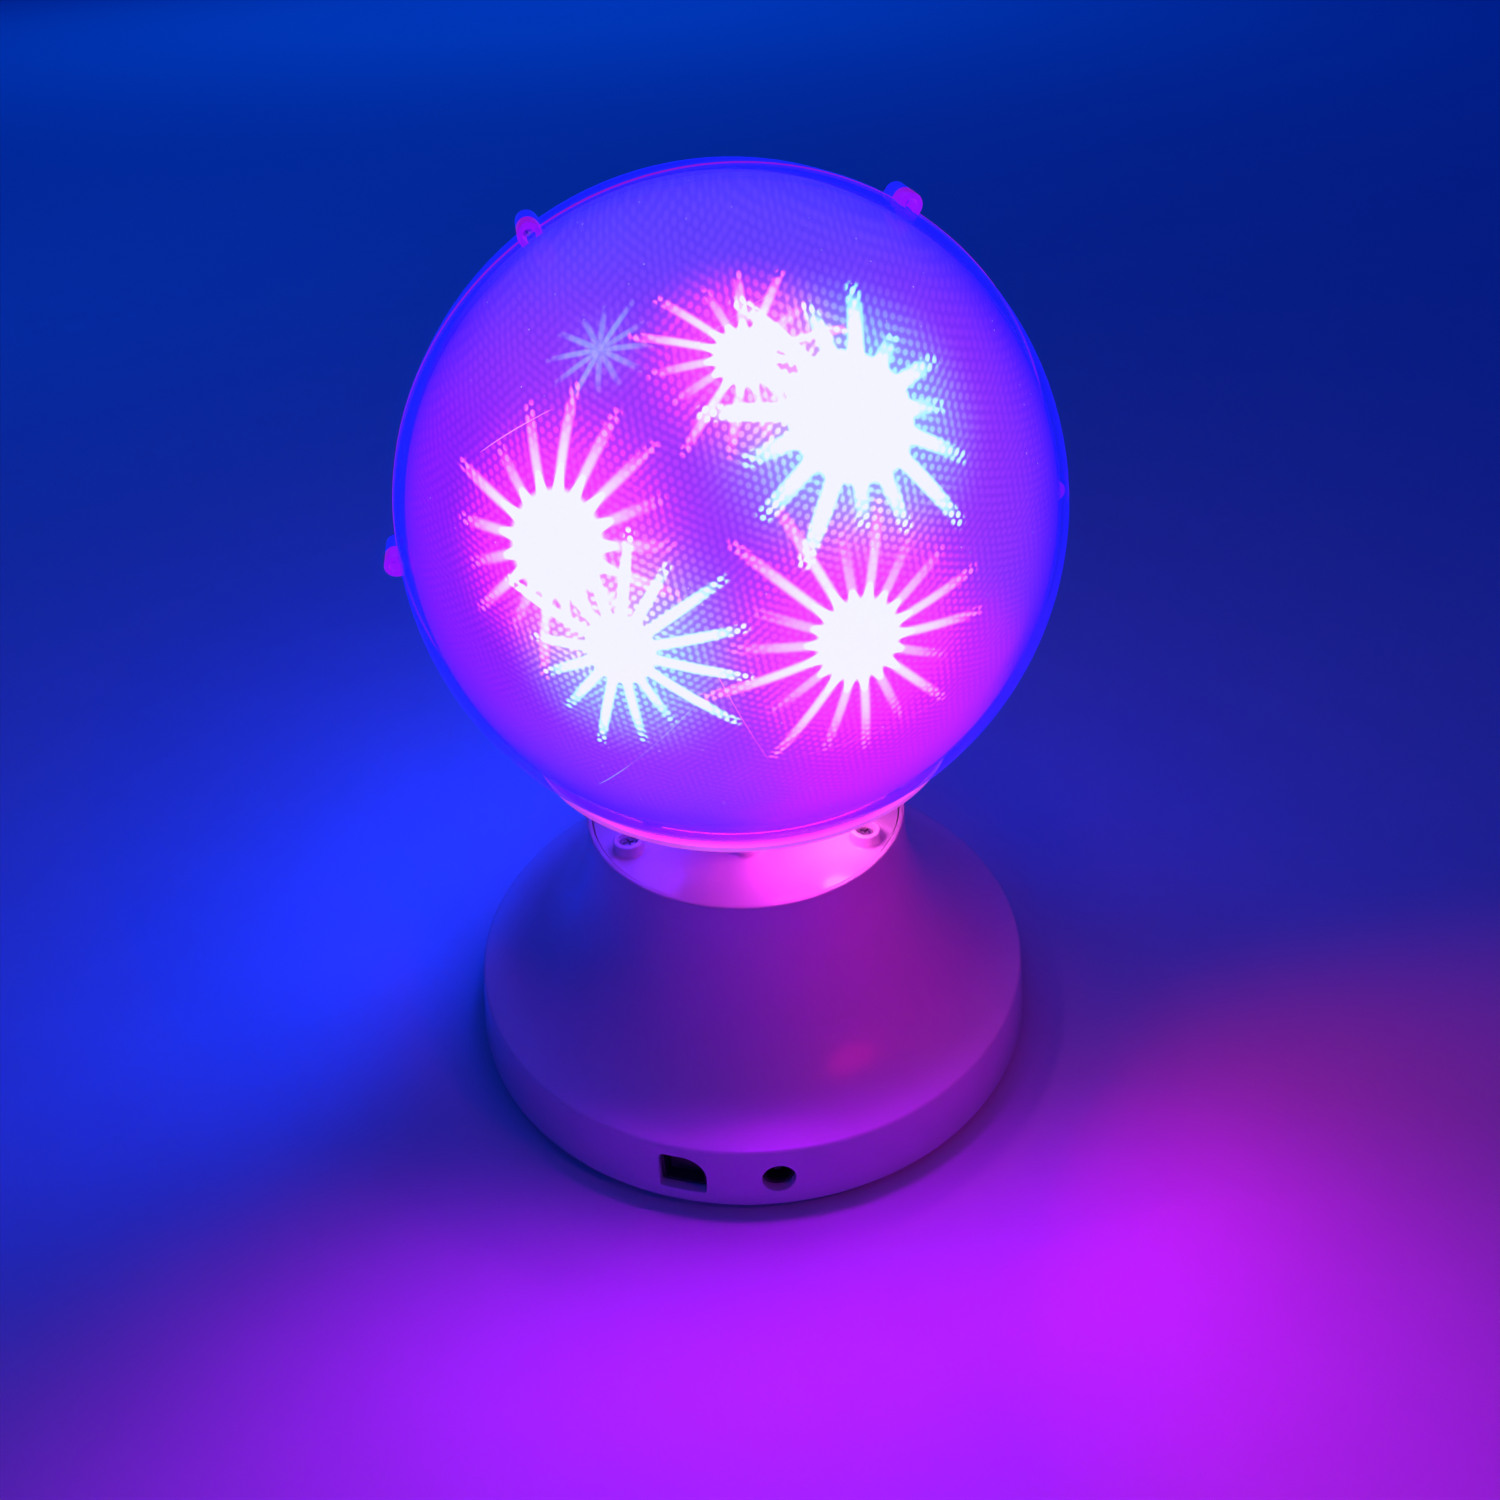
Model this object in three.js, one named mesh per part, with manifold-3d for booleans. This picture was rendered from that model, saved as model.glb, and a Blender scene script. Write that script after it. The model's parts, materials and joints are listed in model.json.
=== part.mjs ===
// Starburst globe lamp: a two-part plastic globe lined with diffraction film turns on a
// fixed spindle above a bell-shaped base. Millimetres, +Z up, front towards -Y, standing on z = 0.
import * as THREE from 'three';
import { mergeVertices } from 'three/addons/utils/BufferGeometryUtils.js';
import Module from 'manifold-3d';

const wasm = await Module();
wasm.setup();

// ---- driving dimensions ----
const gap = 0.3;                 // assembly gap between pieces that touch
const runGap = 0.5;              // gap between pieces that move past each other

const globeRadius = 75;
const globeWall = 1.8;
const globeCentre = 150;         // height of the globe's centre
const mouthRadius = 52;          // outside radius of the globe's bottom opening
const globeYaw = 9;              // the globe's front is turned this far towards +X, degrees
const filmThickness = 1;
const filmGap = 0.5;             // air between the film and the shell
const seamRimHeight = 0.3;       // how far the seam rim stands proud of the globe
const seamRimWidth = 2.2;
const lugRadius = 2.4;           // screw lugs on the seam
const lugLength = 6;
const lugRise = 0.9;             // height of a lug's screw hole above the globe's surface
const lugAngles = [0, 60, 120, 180];

const baseRadius = 79;
const bandTaper = 2;             // the band is this much smaller at its top
const bandHeight = 18;
const footHeight = 2;
const neckRadius = 42.5;
const deckHeight = 67;           // top face of the deck
const flareShoulder = 21;        // length of the flare's flat start above the band
const flareRise = 25;            // length of the flare's upright end below the rim
const baseWall = 2.2;

const deckThickness = 2.4;
const rimHeight = 0.7;           // the base's rim stands this much above the deck
const rimWidth = 1.4;
const deckBossRadius = 3.9;
const deckBossHeight = 3.4;
const deckBossCircle = 35;       // radius that the three deck screws stand on
const deckSeatRise = 0.6;        // the screws' seats above the deck
const bossWall = 1.2;
const gearboxRoom = 0.9;         // gap between the gearbox and the shelf under the deck
const towerWall = 1.8;           // tower around the motor's shaft

const spindleRadius = 6;
const spindleBore = 4;
const shoulderWidth = 2.5;       // step on the spindle under the thrust washer
const flangeWidth = 2.4;         // flanges of the bush and the spindle beyond the bush's sleeve
const flangeThickness = 3;
const spindleEnd = 5.6;          // spindle above the underside of its retaining ring
const spindleTail = 10;          // spindle below the deck, for its nut
const grooveDepth = 0.8;
const clipThickness = 1;
const washerThickness = 1.2;
const bushWall = 2.3;
const bushFlange = 1.5;
const bushStand = 0.6;           // the bush stands this much above the hub
const hubWall = 3.6;
const hubDrop = 3;               // hub below the collar plate
const hubRise = 3.4;             // hub above the collar plate
const plateThickness = 3;        // collar plate, whose edge is the lip under the globe
const lipOverhang = 1;           // the lip stands out this much past the globe's mouth
const lipEdge = 1.2;             // height of the lip's upright edge

const gearModule = 1;
const pinionTeeth = 12;
const gearWidth = 6;
const gearWeb = 1.6;             // disc that carries the ring gear
const gearRimWall = 2.4;
const shaftRadius = 1.2;

const coverThickness = 3;
const coverScrewCircle = 62;
const coverScrewShank = 1.5;
const deckScrewShank = 1.4;
const footRadius = 7;
const jackAngle = 3;             // degrees from the front towards +X
const jackDrop = 0.4;            // the jack sits this far below the middle of its room
const jackHoleRadius = 4.2;
const jackBarrelRadius = 3.2;
const jackPinRadius = 1.05;
const screwPostRadius = 3.6;     // posts in the base that the cover's screws bite into
const coverScrewHole = 14;       // depth of their holes
const screwWellDepth = 2;        // the cover's screw heads sit this deep
const switchAngle = -14.5;
const windowWidth = 12;
const windowBottom = 4;          // window above the base's foot
const windowTop = 3.2;           // window below the band's top
const windowCornerSmall = 1.6;
const windowCornerLarge = 6.4;
const rockerTilt = 7;            // the rocker leans this far either way from its middle

const ledRadius = 2.5;
const ledLength = 6;
const ledShares = [0, 0.31, 0.48, 0.64, 0.87, 1];   // places along the arc that the LEDs stand on
const ledInset = 7;              // LEDs inside the board's round edge
const ledFlatInset = 7.7;        // lowest LEDs above the board's flat edge
const boardRoom = 24.7;          // LED board inside the film
const ledBoardThickness = 1.6;
const mastWidth = 10;
const mastDepth = 6;
const mastFootThickness = 2.6;
const mastRise = 8;              // mast above the globe's centre
const boardRise = 3;             // the LED board's flat edge above the mast's foot
const cableRadius = 1.4;

// ---- heights and radii worked out from them ----
const mouthDrop = Math.sqrt(globeRadius ** 2 - mouthRadius ** 2);
const mouthHeight = globeCentre - mouthDrop;
const globeInside = globeRadius - globeWall;
const filmOutside = globeInside - filmGap;
const filmInside = filmOutside - filmThickness;
const ledBoardRadius = filmInside - boardRoom;
const ledCircle = ledBoardRadius - ledInset;
const bandTop = footHeight + bandHeight;
const bandTopRadius = baseRadius - bandTaper;
const deckUnder = deckHeight - deckThickness;
const deckRadius = neckRadius - rimWidth - gap;
const rimTop = deckHeight + rimHeight;
const shelfTop = deckUnder - gap;
const shelfUnder = shelfTop - baseWall;
const plateTop = mouthHeight - gap;
const plateUnder = plateTop - plateThickness;
const bushInside = spindleRadius + gap;
const bushOutside = bushInside + bushWall;
const hubInside = bushOutside + gap;
const hubOutside = hubInside + hubWall;
const shoulderRadius = spindleRadius + shoulderWidth;
const flangeRadius = bushOutside + flangeWidth;
const hubUnder = plateUnder - hubDrop;
const hubTop = plateTop + hubRise;
const bushUnder = hubUnder - gap - bushFlange;
const bushTop = hubTop + bushStand;
const shoulderTop = bushUnder - 2 * gap - washerThickness;
const clipUnder = bushTop + runGap;
const spindleTop = clipUnder + spindleEnd;
const spindleFoot = deckUnder - spindleTail;
const toothRise = 0.8 * gearModule;      // tooth above the pitch circle
const toothDepth = 1.15 * gearModule;    // tooth space below it
const pinionPitch = gearModule * pinionTeeth / 2;
// the pinion stands clear of the hub, and the ring gear has the teeth that reach it
const offsetSteps = Math.ceil((hubOutside + runGap + pinionPitch + toothRise) / gearModule);
const ringTeeth = pinionTeeth + 2 * offsetSteps;
const gearOffset = gearModule * offsetSteps;
const towerRadius = shaftRadius + gap + towerWall;
const ringPitch = gearModule * ringTeeth / 2;
const gearTop = plateUnder - gap - gearWeb;
const gearUnder = gearTop - gearWidth;
const towerTop = gearUnder - 2 * runGap;
const deckScrewSeat = deckHeight + deckSeatRise;
const coverUnder = footHeight;
const coverTop = coverUnder + coverThickness;
const bandInside = baseRadius - baseWall;
const bandInsideTop = bandTopRadius - baseWall;
const jackHeight = (coverTop + bandTop - baseWall) / 2 - jackDrop;
const windowLow = footHeight + windowBottom;
const windowHigh = bandTop - windowTop;
const coverRadius = THREE.MathUtils.mapLinear(
  coverTop, footHeight, bandTop - baseWall, bandInside, bandInsideTop) - gap;

// ---- shape helpers: each gives a manifold solid ----
function solid(geometry) {
  geometry.deleteAttribute('normal');
  geometry.deleteAttribute('uv');
  const merged = mergeVertices(geometry, 1e-4);
  const corners = merged.index.array;
  const kept = [];
  for (let i = 0; i < corners.length; i += 3) {
    const [a, b, c] = corners.slice(i, i + 3);
    if (a !== b && b !== c && c !== a) kept.push(a, b, c);
  }
  return new wasm.Manifold(new wasm.Mesh({
    numProp: 3,
    vertProperties: new Float32Array(merged.attributes.position.array),
    triVerts: new Uint32Array(kept),
  }));
}

function rod(radius, low, high, x = 0, y = 0, sides = 24) {
  const shape = new THREE.CylinderGeometry(radius, radius, high - low, sides);
  shape.rotateX(Math.PI / 2);
  shape.translate(x, y, (low + high) / 2);
  return solid(shape);
}

// a rod along Y, from the back end to the front end
function rodAlongY(radius, from, to, x, z, sides = 24) {
  const shape = new THREE.CylinderGeometry(radius, radius, Math.abs(to - from), sides);
  shape.translate(x, (from + to) / 2, z);
  return solid(shape);
}

function tube(inner, outer, low, high, sides = 32) {
  return turned([[inner, low], [outer, low], [outer, high], [inner, high], [inner, low]], sides);
}

function block(width, depth, height, x = 0, y = 0, z = 0) {
  const shape = new THREE.BoxGeometry(width, depth, height);
  shape.translate(x, y, z);
  return solid(shape);
}

// a profile of [radius, height] points, turned about the Z axis
function turned(profile, sides = 48) {
  const points = profile.map(([radius, height]) => new THREE.Vector2(radius, height));
  const shape = new THREE.LatheGeometry(points, sides);
  shape.rotateX(Math.PI / 2);
  return solid(shape);
}

// an outline in XY, raised from one height to another
function raised(outline, low, high, curveSegments = 8) {
  const settings = { depth: high - low, bevelEnabled: false, curveSegments };
  const shape = new THREE.ExtrudeGeometry(outline, settings);
  shape.translate(0, 0, low);
  return solid(shape);
}

function polar(radius, degrees) {
  const angle = THREE.MathUtils.degToRad(degrees);
  return [radius * Math.cos(angle), radius * Math.sin(angle)];
}

// the place on the base at an angle counted from the front towards +X
function aroundFront(radius, degrees) {
  return polar(radius, degrees - 90);
}

// turns a solid drawn facing the front, so that it faces an angle from the front
function facing(shape, degrees) {
  return shape.rotate([0, 0, degrees]);
}

function join(first, ...others) {
  return others.reduce((whole, other) => whole.add(other), first);
}

function cut(first, ...others) {
  return others.reduce((whole, other) => whole.subtract(other), first);
}

function geometryOf(shape) {
  const mesh = shape.getMesh();
  const geometry = new THREE.BufferGeometry();
  geometry.setAttribute('position', new THREE.BufferAttribute(mesh.vertProperties, 3));
  geometry.setIndex(new THREE.BufferAttribute(mesh.triVerts, 1));
  geometry.computeVertexNormals();
  return geometry;
}

// ---- materials ----
function finish(color, roughness, metalness = 0) {
  return new THREE.MeshStandardMaterial({ color, roughness, metalness });
}

const whitePlastic = finish(0xe8e6ea, 0.38);
const deckPlastic = finish(0xf0eef2, 0.3);
const clearPlastic = finish(0xd8dcf4, 0.08);
const filmSheet = finish(0x9a4cff, 0.25);
const lipPlastic = finish(0xf6dcf2, 0.25);
const gearPlastic = finish(0xf1ede0, 0.45);
const blackPlastic = finish(0x141416, 0.45);
const rubber = finish(0x1c1c1e, 0.85);
const screwSteel = finish(0xb8bac0, 0.3, 1);
const motorSteel = finish(0xa9abb0, 0.35, 1);
const bronze = finish(0xb58a4c, 0.4, 1);
const boardGreen = finish(0x1f5f3a, 0.5);
const ledClear = finish(0xf4f6ff, 0.1);

const lamp = new THREE.Group();
const globe = new THREE.Group();
globe.rotation.z = THREE.MathUtils.degToRad(globeYaw);
lamp.add(globe);

function place(parent, name, shape, material) {
  const mesh = new THREE.Mesh(geometryOf(shape), material);
  mesh.name = name;
  parent.add(mesh);
}

// ---- fasteners ----
// a slotted pan-head screw pointing down, with the underside of its head at z = 0
function screw(headRadius, headHeight, shankRadius, shankLength) {
  const crown = 0.7 * headHeight;
  const profile = [
    [0, -shankLength], [0.5 * shankRadius, -shankLength], [shankRadius, -shankLength + shankRadius],
    [shankRadius, 0], [headRadius, 0], [headRadius, crown], [0.7 * headRadius, headHeight], [0, headHeight],
  ];
  const slotWidth = 0.28 * headRadius;
  const slotLength = 3 * headRadius;
  const slotTop = headHeight + 0.5;
  const slotHeight = 1.1 * headHeight;
  const slotMiddle = slotTop - slotHeight / 2;
  return cut(turned(profile, 10), block(slotWidth, slotLength, slotHeight, 0, 0, slotMiddle));
}

// ---- base ----
const flare = new THREE.CubicBezierCurve(
  new THREE.Vector2(bandTopRadius, bandTop),
  new THREE.Vector2(bandTopRadius - flareShoulder, bandTop),
  new THREE.Vector2(neckRadius, rimTop - flareRise),
  new THREE.Vector2(neckRadius, rimTop),
);
const flareSteps = 8;

function flareOutside() {
  return flare.getPoints(flareSteps).map((point) => [point.x, point.y]);
}

// the same curve, one wall further in, as far up as the underside of the deck's shelf
function flareInside() {
  const points = [];
  for (let step = 1; step < flareSteps; step += 1) {
    const at = flare.getPoint(step / flareSteps);
    const along = flare.getTangent(step / flareSteps);
    points.push([at.x - along.y * baseWall, at.y + along.x * baseWall]);
  }
  return points.filter(([, height]) => height < shelfUnder - 1);
}

// the width inside the wall where the shelf meets it
const shelfRoot = neckRadius - baseWall;

function coverScrewSpots() {
  return [45, 135, 225, 315].map((angle) => polar(coverScrewCircle, angle));
}

function deckScrewSpots() {
  return [-60, 60, 180].map((angle) => aroundFront(deckBossCircle, angle));
}

// the switch window: square at the bottom, one small and one large round corner at the top
function windowOutline(grow) {
  const half = windowWidth / 2 + grow;
  const low = windowLow - grow;
  const high = windowHigh + grow;
  const large = Math.min(windowCornerLarge + grow, high - low - gap);
  const small = Math.max(windowCornerSmall + grow, gap);
  const outline = new THREE.Shape();
  outline.moveTo(-half, low);
  outline.lineTo(half, low);
  outline.lineTo(half, high - large);
  outline.absarc(half - large, high - large, large, 0, Math.PI / 2);
  outline.lineTo(-half + small, high);
  outline.absarc(-half + small, high - small, small, Math.PI / 2, Math.PI);
  outline.closePath();
  return outline;
}

// an outline in XZ, pushed through the front of the band
function throughBand(outline, angle) {
  const depth = 3 * (baseWall + bandTaper);
  const plug = new THREE.ExtrudeGeometry(outline, { depth, bevelEnabled: false, curveSegments: 8 });
  plug.rotateX(Math.PI / 2);
  plug.translate(0, -baseRadius + depth, 0);
  return facing(solid(plug), angle);
}

function makeBaseShell() {
  const profile = [
    [bandInside, footHeight], [baseRadius, footHeight], ...flareOutside(),
    [neckRadius - rimWidth, rimTop], [neckRadius - rimWidth, shelfTop],
    [deckShelfInner, shelfTop], [deckShelfInner, shelfUnder], [shelfRoot, shelfUnder],
    ...flareInside().reverse(), [bandInsideTop, bandTop - baseWall], [bandInside, footHeight],
  ];
  let shell = turned(profile, 40);
  const room = turned([[0, 0], [bandTopRadius, 0], ...flareOutside(), [0, rimTop], [0, 0]], 40);
  for (const [x, y] of coverScrewSpots()) {
    const post = rod(screwPostRadius, coverTop + gap, shelfTop, x, y, 16).intersect(room);
    const hole = rod(coverScrewShank + gap, 0, coverTop + coverScrewHole, x, y, 12);
    shell = join(shell, post).subtract(hole);
  }
  for (const [x, y] of deckScrewSpots()) {
    shell = shell.subtract(rod(deckScrewShank + gap, shelfUnder - 1, shelfTop + 1, x, y, 12));
  }
  const jackHole = rodAlongY(jackHoleRadius, -baseRadius - 5, -baseRadius + 12, 0, jackHeight, 28);
  return cut(shell, facing(jackHole, jackAngle), throughBand(windowOutline(0), switchAngle));
}

function makeTopDeck() {
  let deck = tube(spindleRadius + gap, deckRadius, deckUnder, deckHeight, 40);
  for (const [x, y] of deckScrewSpots()) {
    deck = join(deck, rod(deckBossRadius, deckUnder, deckHeight + deckBossHeight, x, y));
    deck = cut(deck, rod(deckScrewShank + gap, deckUnder - 1, deckHeight + deckBossHeight + 1, x, y, 12),
      rod(deckBossRadius - bossWall, deckScrewSeat, deckHeight + deckBossHeight + 1, x, y, 20));
  }
  deck = join(deck, rod(towerRadius, deckUnder, towerTop, 0, -gearOffset));
  for (const [x, y] of motorScrewSpots()) {
    deck = join(deck, rod(motorPostRadius, motorPostFoot, deckUnder + 1, x, y, 16));
    deck = deck.subtract(rod(motorScrewShank + gap, motorPostFoot - 1, deckUnder + 0.8, x, y, 12));
  }
  return deck.subtract(rod(shaftRadius + gap, deckUnder - 1, towerTop + 1, 0, -gearOffset, 16));
}

// ---- motor and gears ----
const gearboxWidth = 22;
const gearboxDepth = 15;
const gearboxHeight = 9;
const gearboxTop = deckUnder - gap;
const gearboxUnder = gearboxTop - gearboxHeight;
const deckShelfInner = Math.hypot(gearboxWidth / 2, gearOffset + gearboxDepth / 2) + gearboxRoom;
const motorRadius = 7;
const motorLength = 15;
const motorPostRadius = 2.6;
const motorPostFoot = deckUnder - 5;
const motorScrewShank = 0.9;
const motorEarThickness = 1.6;
const motorEarReach = gearboxWidth / 2 + motorPostRadius + 1;

function motorScrewSpots() {
  return [[-motorEarReach, -gearOffset], [motorEarReach, -gearOffset]];
}

function makeGearbox() {
  const half = gearboxWidth / 2;
  let box = block(gearboxWidth, gearboxDepth, gearboxHeight, 0, -gearOffset, gearboxTop - gearboxHeight / 2);
  const earTop = motorPostFoot - gap;
  const earMiddle = earTop - motorEarThickness / 2;
  for (const [x, y] of motorScrewSpots()) {
    const bridge = Math.abs(x) - half + 2;
    const bridgeMiddle = Math.sign(x) * (half - 2 + bridge / 2);
    box = join(box, rod(motorPostRadius, earTop - motorEarThickness, earTop, x, y, 16),
      block(bridge, 2 * motorPostRadius, motorEarThickness, bridgeMiddle, y, earMiddle));
    box = box.subtract(rod(motorScrewShank + gap, earTop - 5, earTop + 1, x, y, 12));
  }
  return box.subtract(rod(shaftRadius + gap, gearboxTop - 6, gearboxTop + 1, 0, -gearOffset, 16));
}

function makeMotorCan() {
  const top = gearboxUnder - gap;
  const can = rod(motorRadius, top - motorLength, top, 0, -gearOffset, 28);
  const tailBoss = rod(2.5, top - motorLength - 1.6, top - motorLength + 1, 0, -gearOffset, 16);
  return join(can, tailBoss);
}

// straight-sided teeth, a little narrower than their spaces, so that the gears have backlash
function gearPath(path, teeth, tipRadius, rootRadius) {
  const pitch = 2 * Math.PI / teeth;
  const rootHalf = 0.25 * pitch;
  const tipHalf = 0.11 * pitch;
  for (let tooth = 0; tooth < teeth; tooth += 1) {
    const middle = tooth * pitch;
    const corners = [
      [rootRadius, middle - rootHalf], [tipRadius, middle - tipHalf],
      [tipRadius, middle + tipHalf], [rootRadius, middle + rootHalf],
    ];
    for (const [radius, angle] of corners) {
      const x = radius * Math.cos(angle);
      const y = radius * Math.sin(angle);
      if (tooth === 0 && angle === middle - rootHalf) path.moveTo(x, y);
      else path.lineTo(x, y);
    }
  }
  path.closePath();
  return path;
}

function makeRingGear() {
  const outside = ringPitch + toothDepth + gearRimWall;
  const outline = new THREE.Shape();
  outline.absarc(0, 0, outside, 0, 2 * Math.PI);
  const teeth = gearPath(new THREE.Path(), ringTeeth, ringPitch - toothRise, ringPitch + toothDepth);
  outline.holes.push(teeth);
  const rim = raised(outline, gearUnder, gearTop, 24).rotate([0, 0, -90]);
  const web = tube(hubOutside + gap, outside, gearTop - 0.2, plateUnder - gap, 48);
  return join(rim, web);
}

function makePinion() {
  const outline = gearPath(new THREE.Shape(), pinionTeeth, pinionPitch + toothRise, pinionPitch - toothDepth);
  const bore = new THREE.Path();
  bore.absarc(0, 0, shaftRadius + gap, 0, 2 * Math.PI);
  outline.holes.push(bore);
  // turned by half a tooth, so that a tooth space faces the ring tooth at the front
  const halfTooth = 180 / pinionTeeth;
  const wheel = raised(outline, gearUnder, gearTop - runGap, 6).rotate([0, 0, -90 + halfTooth]);
  return wheel.translate([0, -gearOffset, 0]);
}

function makeMotorShaft() {
  return rod(shaftRadius, gearboxTop - 5, gearTop - runGap, 0, -gearOffset, 16);
}

// ---- spindle ----
function makeSpindle() {
  const groove = spindleRadius - grooveDepth;
  const grooveLow = clipUnder - 0.2;
  const grooveHigh = clipUnder + clipThickness + 0.3;
  const flangeUnder = deckHeight + gap;
  return turned([
    [spindleBore, spindleFoot], [spindleRadius, spindleFoot], [spindleRadius, flangeUnder],
    [flangeRadius, flangeUnder], [flangeRadius, flangeUnder + flangeThickness],
    [shoulderRadius, flangeUnder + flangeThickness + 1], [shoulderRadius, shoulderTop],
    [spindleRadius, shoulderTop], [spindleRadius, grooveLow], [groove, grooveLow],
    [groove, grooveHigh], [spindleRadius, grooveHigh], [spindleRadius, spindleTop],
    [spindleBore, spindleTop], [spindleBore, spindleFoot],
  ], 28);
}

function makeSpindleNut() {
  const top = deckUnder - gap;
  const hexagon = rod(spindleRadius + 3.2, top - 5, top, 0, 0, 6);
  return hexagon.subtract(rod(spindleRadius + gap, top - 6, top + 1, 0, 0, 28));
}

function makeRetainingRing() {
  const inner = spindleRadius - grooveDepth + gap;
  const outer = bushOutside - 0.4;
  const opening = Math.PI / 5;
  const outline = new THREE.Shape();
  outline.absarc(0, 0, outer, opening / 2, 2 * Math.PI - opening / 2);
  outline.absarc(0, 0, inner, 2 * Math.PI - opening / 2, opening / 2, true);
  outline.closePath();
  return raised(outline, clipUnder, clipUnder + clipThickness, 10);
}

function makeThrustWasher() {
  return tube(bushInside, flangeRadius, shoulderTop + gap, shoulderTop + gap + washerThickness, 28);
}

function makeHubBush() {
  return turned([
    [bushInside, bushUnder], [flangeRadius, bushUnder], [flangeRadius, bushUnder + bushFlange],
    [bushOutside, bushUnder + bushFlange], [bushOutside, bushTop], [bushInside, bushTop],
    [bushInside, bushUnder],
  ], 28);
}

// ---- collar ----
const spigotWall = 2;
const spigotHeight = 3;
const shellBossRadius = 3;
const shellBossCircle = mouthRadius - 4.8;
const shellBossHeight = 6;
const collarScrewShank = 1.2;
const shellBossAngles = [-125, -55, 55, 125];

function makeCollar() {
  const lipRadius = mouthRadius + lipOverhang;
  const spigotOutside = shellBossCircle - shellBossRadius - gap;
  const spigotInside = spigotOutside - spigotWall;
  let collar = turned([
    [hubInside, hubUnder], [hubOutside, hubUnder], [hubOutside, plateUnder],
    [lipRadius - plateThickness + lipEdge, plateUnder], [lipRadius, plateTop - lipEdge],
    [lipRadius, plateTop - gap], [lipRadius - gap, plateTop],
    [spigotOutside, plateTop], [spigotOutside, plateTop + spigotHeight],
    [spigotInside, plateTop + spigotHeight], [spigotInside, plateTop], [hubOutside, plateTop],
    [hubOutside, hubTop], [hubInside, hubTop], [hubInside, hubUnder],
  ], 40);
  for (const angle of shellBossAngles) {
    const [x, y] = polar(shellBossCircle, angle);
    collar = collar.subtract(rod(collarScrewShank + gap, plateUnder - 1, plateTop + 1, x, y, 12));
  }
  return collar;
}

// ---- globe ----
// side is -1 for the front half and 1 for the rear half
function halfSpace(side, from) {
  const size = 4 * globeRadius;
  return block(size, size, size, 0, side * (from + size / 2), globeCentre);
}

function aboveMouth(lift) {
  const size = 4 * globeRadius;
  return block(size, size, size, 0, 0, mouthHeight + lift + size / 2);
}

const ballAround = 28;
const ballDown = 14;

function ball(radius) {
  const shape = new THREE.SphereGeometry(radius, ballAround, ballDown);
  shape.rotateX(Math.PI / 2);
  shape.translate(0, 0, globeCentre);
  return solid(shape);
}

function lugSpot(angle) {
  const [across, up] = polar(globeRadius + lugRise, angle);
  return [across, globeCentre + up];
}

const seamScrewShank = 1;
const seamHead = 1.8;
const seamHeadRoom = 2.4;        // pocket in the globe's skin beside a screw's head

// a rounded lug that stands on the globe at the seam, with its round end at the screw hole
function makeLug(side, angle) {
  const [x, z] = lugSpot(angle);
  const from = side * gap / 2;
  const to = side * lugLength;
  const round = rodAlongY(lugRadius, from, to, x, z, 20);
  const legHeight = lugRise + globeWall / 2;
  const leg = block(legHeight, lugLength - gap / 2, 2 * lugRadius,
    globeRadius + lugRise - legHeight / 2, (from + to) / 2, 0);
  return join(round, leg.rotate([0, -angle, 0]).translate([0, 0, globeCentre]));
}

function makeGlobeShell(side) {
  const rimOutside = globeRadius + seamRimHeight;
  const rimInside = globeInside + 0.2;
  const rim = turned([
    [rimInside, gap / 2], [rimOutside, gap / 2], [rimOutside, seamRimWidth - 0.5],
    [globeRadius - 0.5, seamRimWidth], [rimInside, seamRimWidth], [rimInside, gap / 2],
  ], 40).rotate([side < 0 ? 90 : -90, 0, 0]).translate([0, 0, globeCentre]);
  const skin = cut(ball(globeRadius), ball(globeInside)).intersect(halfSpace(side, gap / 2));
  let shell = join(skin, rim).intersect(aboveMouth(0));
  for (const angle of lugAngles) {
    const [x, z] = lugSpot(angle);
    const holeEnd = side < 0 ? -lugLength + 1.4 : lugLength + 1;
    shell = join(shell, makeLug(side, angle));
    shell = shell.subtract(rodAlongY(seamScrewShank + gap, 0, holeEnd, x, z, 12));
    const headRoom = rodAlongY(seamHead + gap, lugLength, lugLength + seamHeadRoom, x, z, 16);
    if (side > 0) shell = shell.subtract(headRoom);
  }
  for (const angle of shellBossAngles.filter((value) => Math.sign(value) === side)) {
    const [x, y] = polar(shellBossCircle, angle);
    const boss = rod(shellBossRadius, mouthHeight, mouthHeight + shellBossHeight, x, y, 16);
    const hole = rod(collarScrewShank + gap, mouthHeight - 1, mouthHeight + shellBossHeight - 1, x, y, 12);
    shell = join(shell, boss).subtract(hole);
  }
  return shell;
}

function makeFilm(side) {
  let film = cut(ball(filmOutside), ball(filmInside));
  film = film.intersect(halfSpace(side, 0.6)).intersect(aboveMouth(0.6));
  for (const angle of shellBossAngles) {
    const [x, y] = polar(shellBossCircle, angle);
    const clearance = rod(shellBossRadius + 1, mouthHeight - 1, mouthHeight + shellBossHeight + 1, x, y, 12);
    film = film.subtract(clearance);
  }
  return film;
}

// ---- lamp head inside the globe ----
const mastFootRadius = 8;
const mastFootUnder = spindleTop + gap;
const mastFootTop = mastFootUnder + mastFootThickness;
const mastTop = globeCentre + mastRise;
const boardFlat = mastFootTop + boardRise;
const mastFront = ledBoardThickness / 2 + gap;

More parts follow.
